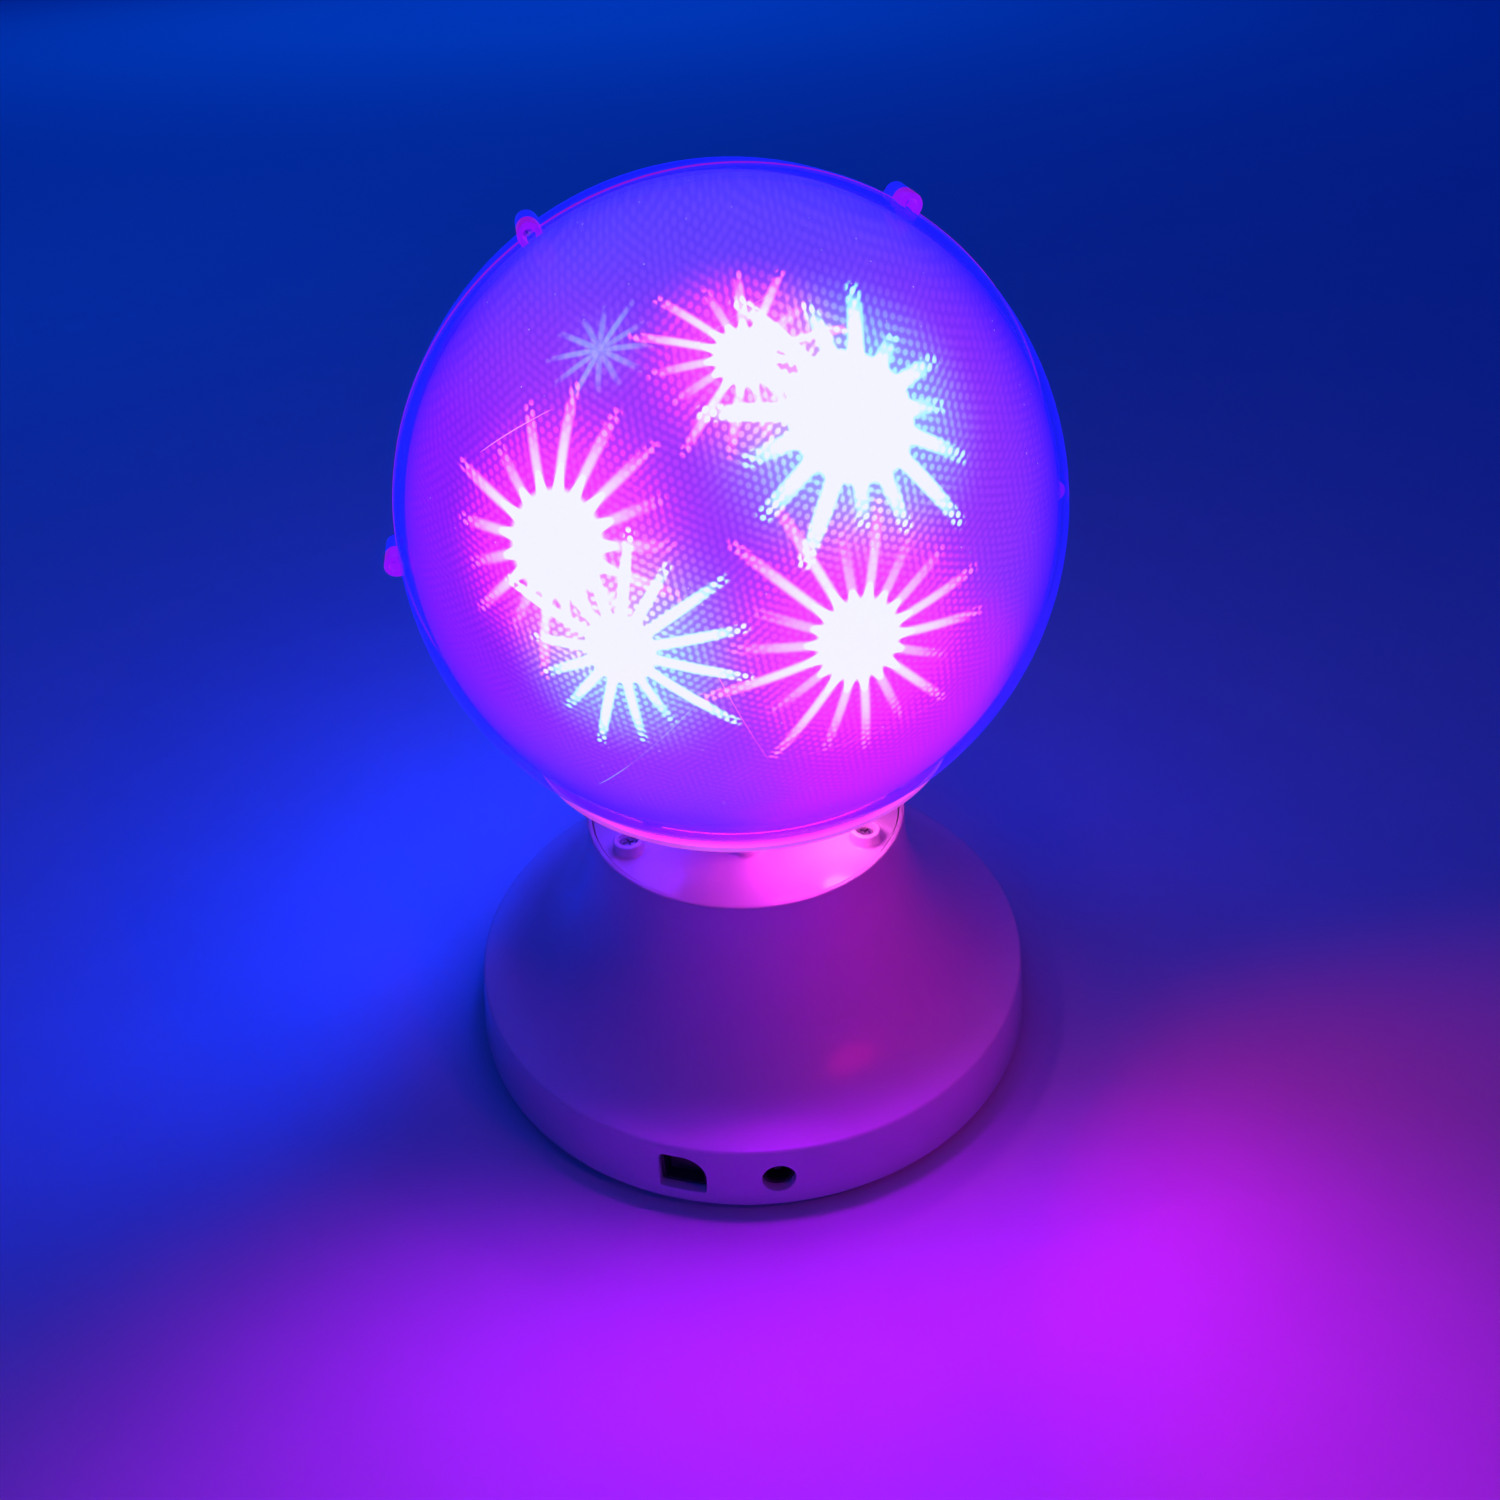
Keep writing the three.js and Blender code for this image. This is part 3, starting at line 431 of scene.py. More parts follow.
def star(paint, outward, dots, settings):
    middle = aimed(settings["turn"], settings["rise"])
    right = Vector((0, 0, 1)).cross(middle).normalized()
    up = middle.cross(right)
    across = paint.dot(outward, tuple(right))
    along = paint.dot(outward, tuple(up))
    facing = paint.node("Math", {"operation": "GREATER_THAN"}, {0: paint.dot(outward, tuple(middle)), 1: 0.3})
    away = (across * across + along * along) ** 0.5
    angle = paint.node("Math", {"operation": "ARCTAN2"}, {0: along, 1: across})
    spoke = angle * (settings["rays"] / (2 * math.pi)) + settings["lean"]
    nearest = paint.node("Math", {"operation": "ROUND"}, {0: spoke})
    number = paint.node("Math", {"operation": "FLOORED_MODULO"}, {0: nearest + 0.25, 1: settings["rays"]})
    chance = paint.node("TexWhiteNoise", {"noise_dimensions": "1D"},
                        {"W": number * 3.1 + settings["turn"]}, output="Value")
    aside = away * (spoke - nearest) * (2 * math.pi / settings["rays"])
    reach = settings["reach"] * (0.66 + 0.34 * chance)
    sofar = away / reach
    slim = settings["width"] * (0.92 - 0.06 * sofar)
    profile = (0 - (aside / slim) ** 4)
    ray = paint.node("Math", {"operation": "EXPONENT"}, {0: profile})
    ray = ray * paint.fade(sofar, 1.02, 0.94)
    beads = paint.fade(dots, -0.7, 1.1, 0.0, 1.0)
    solid = paint.fade(sofar, 0.95, 0.6)
    ray = ray * (beads + (1 - beads) * solid) * (0.45 + 0.55 * chance)
    ray = ray * paint.fade(sofar, 1.0, 0.45, 0.3, 1.0)
    scallop = settings["heart"] * (0.86 + 0.34 * ray)
    heart = paint.fade(away / scallop, 1.14, 0.86) if settings["heart"] else 0.0 * away
    halo = paint.fade(away, settings["reach"] * 1.2, settings["heart"] * 0.7) ** 2.2
    halo = halo * (0.35 + 0.65 * beads)
    strength = starPower if settings["tone"] != "ghost" else {"heart": 0, "ray": 0.9, "halo": 0.35}
    white = paint.tinted(starTones[settings["tone"]], (strength["heart"] * heart + strength["ray"] * ray) * facing)
    glow = paint.tinted(haloTones[settings["tone"]], strength["halo"] * halo * facing)
    return paint.vectorMaths("ADD", white, glow)


def crease(paint, outward, settings):
    start, end = aimed(*settings["start"]), aimed(*settings["end"])
    across = start.cross(end).normalized()
    middle = (start + end).normalized()
    half = start.angle(end) / 2
    aside = paint.node("Math", {"operation": "ABSOLUTE"}, {0: paint.dot(outward, tuple(across))})
    wobble = 0.004 * paint.noise(70, 2)
    line = paint.fade(aside + wobble, 0.0042, 0.0012)
    length = paint.fade(paint.dot(outward, tuple(middle)), math.cos(half), math.cos(half * 0.8))
    # the crease is painted as a bright line of light
    return paint.tinted(starTones[settings["tone"]], settings["power"] * line * length)


def diffractionFilm(name, side, stars, creases):
    # embossed film lit from behind: a coloured glow, a fine lattice, and a starburst at every LED
    paint = Paint(name)
    place = fromCentre(paint)
    outward = paint.vectorMaths("NORMALIZE", place)
    lattice = waves(paint, place, filmLook["pitch"], 8)
    second = waves(paint, place, filmLook["pitch"] * 1.07, 14)
    dots = (lattice + 0.5 * second) * 0.6
    front = aimed(0 if side < 0 else 180, 22)
    level = paint.dot(outward, tuple(front))
    soft = 0.16 * (paint.noise(22, 3) - 0.5)
    inward = paint.fade(level + soft, 0.15, 0.95)
    colour = paint.blendColours(inward, tone(filmLook["limb"]), tone(filmLook["middle"]))
    height = paint.split(outward)[2]
    high = paint.fade(height + soft, 0.62, 0.98, 0, 0.75)
    colour = paint.blendColours(high, colour, tone(filmLook["high"]))
    lowWay = tuple(aimed(30 if side < 0 else 205, -24))
    low = paint.fade(paint.dot(outward, lowWay) + soft, 0.82, 1.0, 0, 0.9)
    colour = paint.blendColours(low, colour, tone(filmLook["low"]))
    leftWay = tuple(aimed(-52 if side < 0 else 140, 8))
    left = paint.fade(paint.dot(outward, leftWay) + soft, 0.8, 1.0, 0, 0.8)
    colour = paint.blendColours(left, colour, tone(filmLook["left"]))
    grain = paint.fade(dots, -1.2, 1.4, 0.86, 1.1)
    total = paint.node("VectorMath", {"operation": "SCALE"}, {0: colour, "Scale": grain})
    for settings in stars:
        total = paint.vectorMaths("ADD", total, star(paint, outward, dots, settings))
    for settings in creases:
        total = paint.vectorMaths("ADD", total, crease(paint, outward, settings))
    glints = paint.fade(paint.cells(260), 0.02, 0.05, 1.0, 0.0)
    total = paint.vectorMaths("ADD", total, paint.tinted((0.5, 0.5, 0.6), glints))
    total = paint.vectorMaths("MINIMUM", total, (1, 1, 1))
    return paint.finish(
        Base_Color=tone("2b1250"),
        Roughness=paint.fade(dots, -1.5, 1.5, 0.28, 0.42),
        Emission_Color=total,
        Emission_Strength=1.0,
        Normal=paint.bump(dots, 0.15, 0.03 * mm),
    )


def lipPlastic():
    # the collar takes the light at its outer edge and passes it on
    paint = Paint("litCollar")
    east, north = paint.split(paint.place())[:2]
    away = (east * east + north * north) ** 0.5
    edge = paint.fade(away, 51 * mm, 52.7 * mm)
    patchy = paint.fade(paint.noise(45, 4), 0.3, 0.7, 0.45, 1.0)
    glow = paint.blendColours(patchy, tone("d818d8"), tone("ff6cf0"))
    return paint.finish(
        Base_Color=paint.blendColours(paint.noise(80, 4), tone("efd8f0"), tone("f8ecf8")),
        Roughness=0.22 + 0.1 * paint.noise(200, 3),
        Emission_Color=paint.tinted(glow, 0.1 + 0.9 * edge),
        Emission_Strength=0.55,
        Coat_Weight=edge * 0.5,
        Coat_Roughness=0.1,
        Normal=paint.bump(paint.noise(700, 3), 0.1, 0.04 * mm),
    )


def gearPlastic():
    paint = Paint("naturalAcetal")
    cloud = paint.noise(150, 5)
    grease = paint.fade(paint.noise(70, 3), 0.55, 0.7)
    return paint.finish(
        Base_Color=paint.blendColours(cloud, tone("e4dfd0"), tone("f2eee2")),
        Roughness=0.42 - 0.2 * grease + 0.08 * cloud,
        Normal=paint.bump(paint.noise(1100, 4), 0.12, 0.04 * mm),
    )


def blackPlastic():
    paint = Paint("blackMoulding")
    spark = paint.noise(1800, 4, 0.7)
    return paint.finish(
        Base_Color=paint.blendColours(paint.noise(120, 4), tone("17171a"), tone("26262b")),
        Roughness=0.42 + 0.2 * spark,
        Normal=paint.bump(spark, 0.3, 0.06 * mm),
    )


def blackRubber():
    paint = Paint("footRubber")
    dust = paint.fade(paint.noise(180, 7, 0.7), 0.45, 0.75)
    return paint.finish(
        Base_Color=paint.blendColours(dust, tone("161617"), tone("3a3a3c")),
        Roughness=0.75 + 0.2 * dust,
        Normal=paint.bump(paint.noise(1500, 5), 0.35, 0.08 * mm),
    )


def screwSteel():
    paint = Paint("platedSteel")
    brushed = paint.noise(500, 6, 0.65, paint.stretched((1, 12, 1)))
    stain = paint.fade(paint.noise(240, 4), 0.5, 0.8)
    return paint.finish(
        Base_Color=paint.blendColours(stain, tone("c3c5ca"), tone("8f8c86")),
        Metallic=1.0,
        Roughness=0.22 + 0.2 * brushed + 0.15 * stain,
        Normal=paint.bump(brushed, 0.15, 0.02 * mm),
    )


def motorSteel():
    paint = Paint("turnedSteel")
    rings = paint.noise(900, 5, 0.6, paint.stretched((0.15, 0.15, 1)))
    return paint.finish(
        Base_Color=paint.blendColours(rings, tone("9b9da2"), tone("c0c2c6")),
        Metallic=1.0,
        Roughness=0.25 + 0.2 * rings,
        Normal=paint.bump(rings, 0.2, 0.02 * mm),
    )


def bronze():
    paint = Paint("sinteredBronze")
    pores = paint.fade(paint.cells(1600), 0.08, 0.25)
    return paint.finish(
        Base_Color=paint.blendColours(pores, tone("6b4a20"), tone("b98f52")),
        Metallic=1.0,
        Roughness=0.5 - 0.15 * pores,
        Normal=paint.bump(pores, 0.3, 0.03 * mm),
    )


def circuitBoard():
    # green mask with brighter tracks under it
    paint = Paint("solderMask")
    tracks = paint.node("TexBrick", {"offset": 0.5, "squash": 1.0}, {
        "Vector": paint.place(), "Scale": 110, "Color1": (1, 1, 1, 1), "Color2": (0.55, 0.55, 0.55, 1),
        "Mortar": (0, 0, 0, 1), "Mortar Size": 0.09}, output="Color")
    weave = paint.noise(900, 3)
    return paint.finish(
        Base_Color=paint.blendColours(tracks, tone("2f8a58"), tone("154c30")),
        Roughness=0.32 + 0.15 * weave,
        Normal=paint.bump(tracks, 0.2, 0.03 * mm),
    )


def ledLens(name, glow):
    paint = Paint(name)
    frost = paint.noise(900, 3)
    return paint.finish(
        Base_Color=tone("eef0ff"),
        Roughness=0.08 + 0.15 * frost,
        Emission_Color=paint.blendColours(frost, glow, (1, 1, 1)),
        Emission_Strength=1.0,
    )


def paleFloor():
    paint = Paint("paleFloor")
    fibre = paint.noise(40, 6, 0.6)
    return paint.finish(
        Base_Color=paint.blendColours(fibre, tone("dcdbdf"), tone("e6e5e8")),
        Roughness=0.62 + 0.12 * fibre,
        Normal=paint.bump(paint.noise(700, 4), 0.1, 0.1 * mm),
    )


# modelling helpers

def pickNothing():
    if bpy.context.object and bpy.context.object.mode != "OBJECT":
        bpy.ops.object.mode_set(mode="OBJECT")
    bpy.ops.object.select_all(action="DESELECT")


def pick(*pieces):
    pickNothing()
    for piece in pieces:
        piece.select_set(True)
    bpy.context.view_layer.objects.active = pieces[0]


def drawOutline(name, points):
    # a line of edges in the XZ plane, drawn from one vertex
    pickNothing()
    bpy.ops.mesh.primitive_plane_add(size=mm)
    piece = bpy.context.object
    piece.name = name
    piece.data.name = name
    bpy.ops.object.mode_set(mode="EDIT")
    bpy.ops.mesh.select_mode(type="VERT")
    bpy.ops.mesh.select_all(action="SELECT")
    bpy.ops.mesh.merge(type="CENTER")
    places = [Vector((across, 0, up)) for across, up in points]
    bpy.ops.transform.translate(value=places[0])
    for start, end in zip(places, places[1:]):
        bpy.ops.mesh.extrude_region_move(TRANSFORM_OT_translate={"value": end - start})
    bpy.ops.mesh.select_all(action="SELECT")
    return piece


def turned(name, points, sides=96):
    # the outline, spun about Z
    piece = drawOutline(name, points)
    bpy.ops.mesh.spin(steps=sides, angle=2 * math.pi, center=(0, 0, 0), axis=(0, 0, 1))
    tidyMesh()
    return piece


def pushed(name, points, depth):
    # the outline, filled and pushed out along Y
    piece = drawOutline(name, points)
    bpy.ops.mesh.remove_doubles(threshold=0.001 * mm)
    bpy.ops.mesh.edge_face_add()
    bpy.ops.mesh.extrude_region_move(TRANSFORM_OT_translate={"value": (0, depth, 0)})
    tidyMesh()
    return piece


def tidyMesh():
    bpy.ops.mesh.select_all(action="SELECT")
    bpy.ops.mesh.remove_doubles(threshold=0.002 * mm)
    bpy.ops.mesh.normals_make_consistent(inside=False)
    bpy.ops.object.mode_set(mode="OBJECT")


def rodPiece(name, radius, low, high, across=0.0, along=0.0, sides=48):
    pickNothing()
    bpy.ops.mesh.primitive_cylinder_add(vertices=sides, radius=radius, depth=high - low,
                                        location=(across, along, (low + high) / 2))
    bpy.ops.object.transform_apply(location=True, rotation=True, scale=True)
    piece = bpy.context.object
    piece.name = name
    return piece


def settle(piece, place=(0, 0, 0), turn=(0, 0, 0)):
    # moves a piece into place and leaves its object at the origin
    pick(piece)
    piece.rotation_euler = turn
    piece.location = place
    bpy.ops.object.transform_apply(location=True, rotation=True, scale=True)
    return piece


def useModifier(piece, kind, **settings):
    pick(piece)
    modifier = piece.modifiers.new(kind.title(), kind)
    for key, setting in settings.items():
        setattr(modifier, key, setting)
    bpy.ops.object.modifier_apply(modifier=modifier.name)


def carve(piece, *cutters):
    for cutter in cutters:
        useModifier(piece, "BOOLEAN", object=cutter, operation="DIFFERENCE", solver="EXACT")
        bpy.data.objects.remove(cutter)


def weld(piece, *others):
    for other in others:
        useModifier(piece, "BOOLEAN", object=other, operation="UNION", solver="EXACT")
        bpy.data.objects.remove(other)


def soften(piece, width, segments=2, angle=40):
    useModifier(piece, "BEVEL", width=width, segments=segments, limit_method="ANGLE",
                angle_limit=math.radians(angle), harden_normals=False)


def smooth(piece, angle=35):
    pick(piece)
    bpy.ops.object.shade_smooth_by_angle(angle=math.radians(angle))


def copyOf(piece, name, place=(0, 0, 0), turn=(0, 0, 0)):
    pick(piece)
    bpy.ops.object.duplicate()
    made = bpy.context.object
    made.name = name
    made.data.name = name
    return settle(made, place, turn)


def arc(centre, radius, start, end, steps=6):
    # points on an arc, angles in degrees from outwards to upwards
    angles = [math.radians(start + (end - start) * step / steps) for step in range(steps + 1)]
    return [(centre[0] + radius * math.cos(angle), centre[1] + radius * math.sin(angle)) for angle in angles]


def middleOf(node):
    low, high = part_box(node)
    return (low + high) / 2


def dressed(piece, material, body, slot, *nodes):
    piece.data.materials.clear()
    piece.data.materials.append(material)
    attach(piece, body)
    if nodes:
        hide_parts(*nodes)
    return piece


# base

housing = {
    "bandTop": 20 * mm,
    "taper": 2 * mm,
    "bandRound": 0.9 * mm,
    "footRound": 0.8 * mm,
    "wall": 2.2 * mm,
    "shoulder": 21 * mm,
    "rise": 25 * mm,
    "neck": 42.5 * mm,
    "rimWidth": 1.4 * mm,
    "rimRound": 0.45 * mm,
    "shelfTop": 64.3 * mm,
    "shelfInner": 30.5 * mm,
    "flareSteps": 28,
    "jackTurn": 3,
    "jackRadius": 4.2 * mm,
    "windowTurn": -14.5,
    "windowWidth": 12 * mm,
    "windowHeight": 10.8 * mm,
    "windowLow": 6 * mm,
    "smallCorner": 1.6 * mm,
    "largeCorner": 6.4 * mm,
}


def bezier(corners, share):
    a, b, c, d = [Vector(corner) for corner in corners]
    rest = 1 - share
    return a * rest ** 3 + b * 3 * share * rest ** 2 + c * 3 * share ** 2 * rest + d * share ** 3


def flareCorners(settings, radius, top):
    bandRadius = radius - settings["taper"]
    return [(bandRadius, settings["bandTop"]), (bandRadius - settings["shoulder"], settings["bandTop"]),
            (settings["neck"], top - settings["rise"]), (settings["neck"], top)]


def windowPoints(settings, grow=0.0):
    half = settings["windowWidth"] / 2 + grow
    low = settings["windowLow"] - grow
    high = settings["windowLow"] + settings["windowHeight"] + grow
    small, large = max(settings["smallCorner"] + grow, 0.3 * mm), settings["largeCorner"] + grow
    tiny = 0.8 * mm
    return (arc((-half + tiny, low + tiny), tiny, 180, 270, 4)
            + arc((half - tiny, low + tiny), tiny, 270, 360, 4)
            + arc((half - large, high - large), large, 0, 90, 12)
            + arc((-half + small, high - small), small, 90, 180, 6)
            + [(-half, low + tiny)])


def makeHousing(settings):
    print("housing")
    low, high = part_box("base_shell")
    radius, foot, top, wall = high.x, low.z, high.z, settings["wall"]
    bandRadius = radius - settings["taper"]
    corners = flareCorners(settings, radius, top)
    steps = settings["flareSteps"]
    outside = [tuple(bezier(corners, step / steps)) for step in range(1, steps + 1)]
    inside = []
    for step in range(steps, 0, -1):
        share = step / steps
        at = bezier(corners, share)
        along = (bezier(corners, min(1, share + 0.01)) - bezier(corners, share - 0.01)).normalized()
        inside.append((at.x - along.y * wall, at.y + along.x * wall))
    shelf = settings["shelfTop"]
    inside = [point for point in inside if settings["bandTop"] - wall < point[1] < shelf - wall - mm]
    footRound, bandRound, rimRound = settings["footRound"], settings["bandRound"], settings["rimRound"]
    neck, rimInner = settings["neck"], settings["neck"] - settings["rimWidth"]
    outline = (
        [(radius - wall, foot)]
        + arc((radius - footRound, foot + footRound), footRound, 270, 360, 4)
        + arc((bandRadius - bandRound, settings["bandTop"] - bandRound), bandRound, 5, 85, 4)
        + outside[:-1]
        + arc((neck - rimRound, top - rimRound), rimRound, 0, 90, 4)
        + arc((rimInner + rimRound, top - rimRound), rimRound, 90, 180, 4)
        + [(rimInner, shelf), (settings["shelfInner"], shelf), (settings["shelfInner"], shelf - wall),
           (neck - wall, shelf - wall)]
        + inside
        + [(bandRadius - wall, settings["bandTop"] - wall), (radius - wall, foot)]
    )
    shell = turned("baseHousing", outline, 144)
    postSize = 3.6 * mm
    flareFill = turned("flareFill", [(0, foot + 3.3 * mm), (radius - 2 * wall, foot + 3.3 * mm)]
                       + [(across - wall * 0.5, up - wall * 0.5) for across, up in outside]
                       + [(0, top - wall * 0.5)], 96)
    for index in range(4):
        middle = middleOf(f"bottom_screw_{index + 1}")
        post = rodPiece("post", postSize, foot + 3.3 * mm, shelf, middle.x, middle.y)
        useModifier(post, "BOOLEAN", object=flareFill, operation="INTERSECT", solver="EXACT")
        weld(shell, post)
        carve(shell, rodPiece("postHole", 1.8 * mm, 0, foot + 17 * mm, middle.x, middle.y, 24))
    bpy.data.objects.remove(flareFill)
    jackTurn = math.radians(settings["jackTurn"])
    jack = rodPiece("jackHole", settings["jackRadius"], -8 * mm, 8 * mm, sides=64)
    jackHeight = middleOf("dc_jack").z
    settle(jack, turn=(math.radians(90), 0, 0))
    settle(jack, (radius * math.sin(jackTurn), -radius * math.cos(jackTurn), jackHeight), (0, 0, jackTurn))
    windowTurn = math.radians(settings["windowTurn"])
    window = pushed("windowHole", windowPoints(settings), 16 * mm)
    settle(window, (0, -radius - 8 * mm, 0))
    settle(window, turn=(0, 0, windowTurn))
    carve(shell, jack, window)
    soften(shell, 0.35 * mm, 3, 50)
    smooth(shell, 40)
    return dressed(shell, whiteMoulding, "base", "white_plastic", "base_shell")


deck = {
    "thickness": 2.4 * mm,
    "top": 67 * mm,
    "edgeRound": 0.3 * mm,
    "bossRadius": 3.9 * mm,
    "bossHeight": 3.4 * mm,
    "bossFillet": 0.8 * mm,
    "wellRadius": 2.7 * mm,
    "towerRadius": 3.3 * mm,
    "hole": 6.3 * mm,
}


def bossOutline(settings, radius, low, top, well):
    # a round boss with a fillet at its foot and a well for the screw
    fillet, edge = settings["bossFillet"], 0.45 * mm
    return ([(0, low), (radius + fillet, low), (radius + fillet, settings["top"])]
            + arc((radius + fillet, settings["top"] + fillet), fillet, 270, 180, 5)
            + arc((radius - edge, top - edge), edge, 0, 90, 4)
            + ([(well, top), (well, settings["top"] + 0.6 * mm), (0, settings["top"] + 0.6 * mm)]
               if well else [(0, top)]))


def makeDeck(settings):
    print("deck")
    low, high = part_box("top_deck")
    radius, top, edge = high.x, settings["top"], settings["edgeRound"]
    under = top - settings["thickness"]
    outline = (
        [(settings["hole"], under), (radius - edge, under)]
        + arc((radius - edge, under + edge), edge, 270, 360, 3)
        + arc((radius - edge, top - edge), edge, 0, 90, 5)
        + [(settings["hole"], top), (settings["hole"], under)]
    )
    plate = turned("deckPlate", outline, 144)
    for index in range(3):
        middle = middleOf(f"deck_screw_{index + 1}")
        boss = turned("boss", bossOutline(settings, settings["bossRadius"], under + 0.3 * mm,
                                          top + settings["bossHeight"], settings["wellRadius"]), 48)
        weld(plate, settle(boss, (middle.x, middle.y, 0)))
        carve(plate, rodPiece("deckHole", 1.7 * mm, under - 5 * mm, top + 2 * mm, middle.x, middle.y, 24))
    shaft = middleOf("motor_shaft")
    tower = turned("tower", bossOutline(settings, settings["towerRadius"], under + 0.3 * mm, high.z, 0), 48)
    weld(plate, settle(tower, (shaft.x, shaft.y, 0)))
    for index in range(2):
        middle = middleOf(f"motor_screw_{index + 1}")
        weld(plate, rodPiece("motorPost", 2.6 * mm, low.z, under + 0.5 * mm, middle.x, middle.y, 32))
        carve(plate, rodPiece("motorHole", 1.2 * mm, low.z - mm, under + 0.2 * mm, middle.x, middle.y, 24))
    carve(plate, rodPiece("shaftHole", 1.5 * mm, under - mm, high.z + mm, shaft.x, shaft.y, 32))
    smooth(plate, 35)
    return dressed(plate, glossyDeck, "base", "deck_plastic", "top_deck")


cover = {
    "edge": 0.5 * mm,
    "grooves": (24 * mm, 40 * mm, 54 * mm),
    "grooveWidth": 1.4 * mm,
    "grooveDepth": 0.6 * mm,
    "screwWell": 3.3 * mm,
    "screwWellDepth": 2 * mm,
}


def makeCover(settings):
    print("bottom cover")
    low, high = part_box("bottom_cover")
    radius, under = high.x, low.z
    top = under + 3 * mm
    outline = [(0, under)]
    for groove in settings["grooves"]:      # shallow stiffening grooves on the underside
        half, depth = settings["grooveWidth"] / 2, settings["grooveDepth"]
        outline += [(groove - half, under), (groove - half + depth / 2, under + depth),
                    (groove + half - depth / 2, under + depth), (groove + half, under)]
    edge = settings["edge"]
    outline += arc((radius - edge, under + edge), edge, 270, 360, 4)
    outline += arc((radius - edge, top - edge), edge, 0, 90, 4) + [(0, top)]
    plate = turned("bottomPlate", outline, 128)
    for index in range(4):
        middle = middleOf(f"bottom_screw_{index + 1}")
        carve(plate, rodPiece("coverWell", settings["screwWell"], under - mm,
                              under + settings["screwWellDepth"], middle.x, middle.y, 40),
              rodPiece("coverHole", 1.8 * mm, under, top + mm, middle.x, middle.y, 24))
    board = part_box("control_board")
    for across in (-19 * mm, 19 * mm):
        for along in (-13 * mm, 13 * mm):
            weld(plate, rodPiece("boardPost", 2.5 * mm, top - 0.5 * mm, board[0].z - 0.3 * mm,
                                 across, middleOf("control_board").y + along, 32))
    smooth(plate, 35)
    return dressed(plate, whiteMoulding, "base", "white_plastic", "bottom_cover")


foot = {"radius": 7 * mm, "cup": 5 * mm, "cupDepth": 0.5 * mm, "edge": 0.5 * mm}


def makeFeet(settings):
    print("feet")
    radius, edge, top = settings["radius"], settings["edge"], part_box("foot_1")[1].z
    outline = (
        [(0, settings["cupDepth"]), (settings["cup"] - settings["cupDepth"], settings["cupDepth"]),
         (settings["cup"], 0)]
        + arc((radius - edge, edge), edge, 270, 360, 4)
        + arc((radius - edge * 0.6, top - edge * 0.6), edge * 0.6, 0, 90, 3)
        + [(0, top)]
    )
    first = turned("footPad", outline, 64)
    smooth(first, 30)
    for index in range(4):
        node = f"foot_{index + 1}"
        middle = middleOf(node)
        pad = copyOf(first, f"footPad{index + 1}", (middle.x, middle.y, 0))
        dressed(pad, footRubber, "base", "rubber", node)
    bpy.data.objects.remove(first)


# fasteners

def makeScrew(name, headRadius, headHeight, shankRadius, shankLength):
    # a pan head with a cross recess over a threaded shank, head up, seat at z = 0
    dome = arc((headRadius - 0.55 * headHeight, 0.42 * headHeight), 0.55 * headHeight, -20, 85, 6)
    outline = [(0, -shankLength), (0.35 * shankRadius, -shankLength)]
    thread = 0.6 * mm
    turns = int((shankLength - 1.2 * mm) / thread)
    for step in range(turns):
        height = -shankLength + 0.6 * mm + thread * step
        outline += [(0.78 * shankRadius, height), (shankRadius, height + thread * 0.45)]
    outline += [(0.8 * shankRadius, -0.3 * mm), (0.8 * shankRadius, 0), (headRadius - 0.15 * mm, 0)]
    outline += dome + [(0, headHeight)]
    screw = turned(name, outline, 32)
    for turn in (0, 90):
        bpy.ops.mesh.primitive_cube_add(size=1, location=(0, 0, headHeight))
        slot = bpy.context.object
        slot.scale = (headRadius * 1.25, headRadius * 0.26, headHeight * 1.1)
        slot.rotation_euler = (0, 0, math.radians(turn))
        bpy.ops.object.transform_apply(location=True, rotation=True, scale=True)
        carve(screw, slot)
    smooth(screw, 30)
    return screw


screwKeys = ("kind", "count", "head", "height", "shank", "length", "way", "body")
screws = listed(screwKeys, [
    ("deck_screw", 3, 2.3, 1.5, 1.4, 7, "down", "base"),
    ("bottom_screw", 4, 3.0, 1.5, 1.5, 12, "up", "base"),
    ("motor_screw", 2, 2.0, 1.2, 0.9, 5, "up", "base"),
    ("collar_screw", 4, 2.4, 1.5, 1.2, 8, "up", "globe"),
    ("seam_screw", 4, 1.8, 1.4, 1.0, 9, "front", "globe"),
])


def makeScrews():
    for settings in screws:
        kind = settings["kind"]
        print(kind)
        first = makeScrew(kind, settings["head"] * mm, settings["height"] * mm, settings["shank"] * mm,
                          settings["length"] * mm)
        for index in range(settings["count"]):
            node = f"{kind}_{index + 1}"
            low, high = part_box(node)
            middle = (low + high) / 2
            name = f"{kind}Head{index + 1}"
            if settings["way"] == "down":
                piece = copyOf(first, name, (middle.x, middle.y, high.z - settings["height"] * mm),
                               (0, 0, math.radians(20 + 35 * index)))
            elif settings["way"] == "up":
                piece = copyOf(first, name, (middle.x, middle.y, low.z + settings["height"] * mm),
                               (math.pi, 0, math.radians(15 + 40 * index)))
            else:
                # the head faces the rear, along the turned seam
                along = Matrix.Rotation(globe["yaw"], 3, "Z") @ Vector((0, 1, 0))
                reach = (settings["length"] - settings["height"]) / 2 * mm
                piece = copyOf(first, name, middle + along * reach,
                               (math.radians(-90), 0, globe["yaw"]))
            dressed(piece, platedSteel, settings["body"], "screw_steel", node)
        bpy.data.objects.remove(first)


# globe

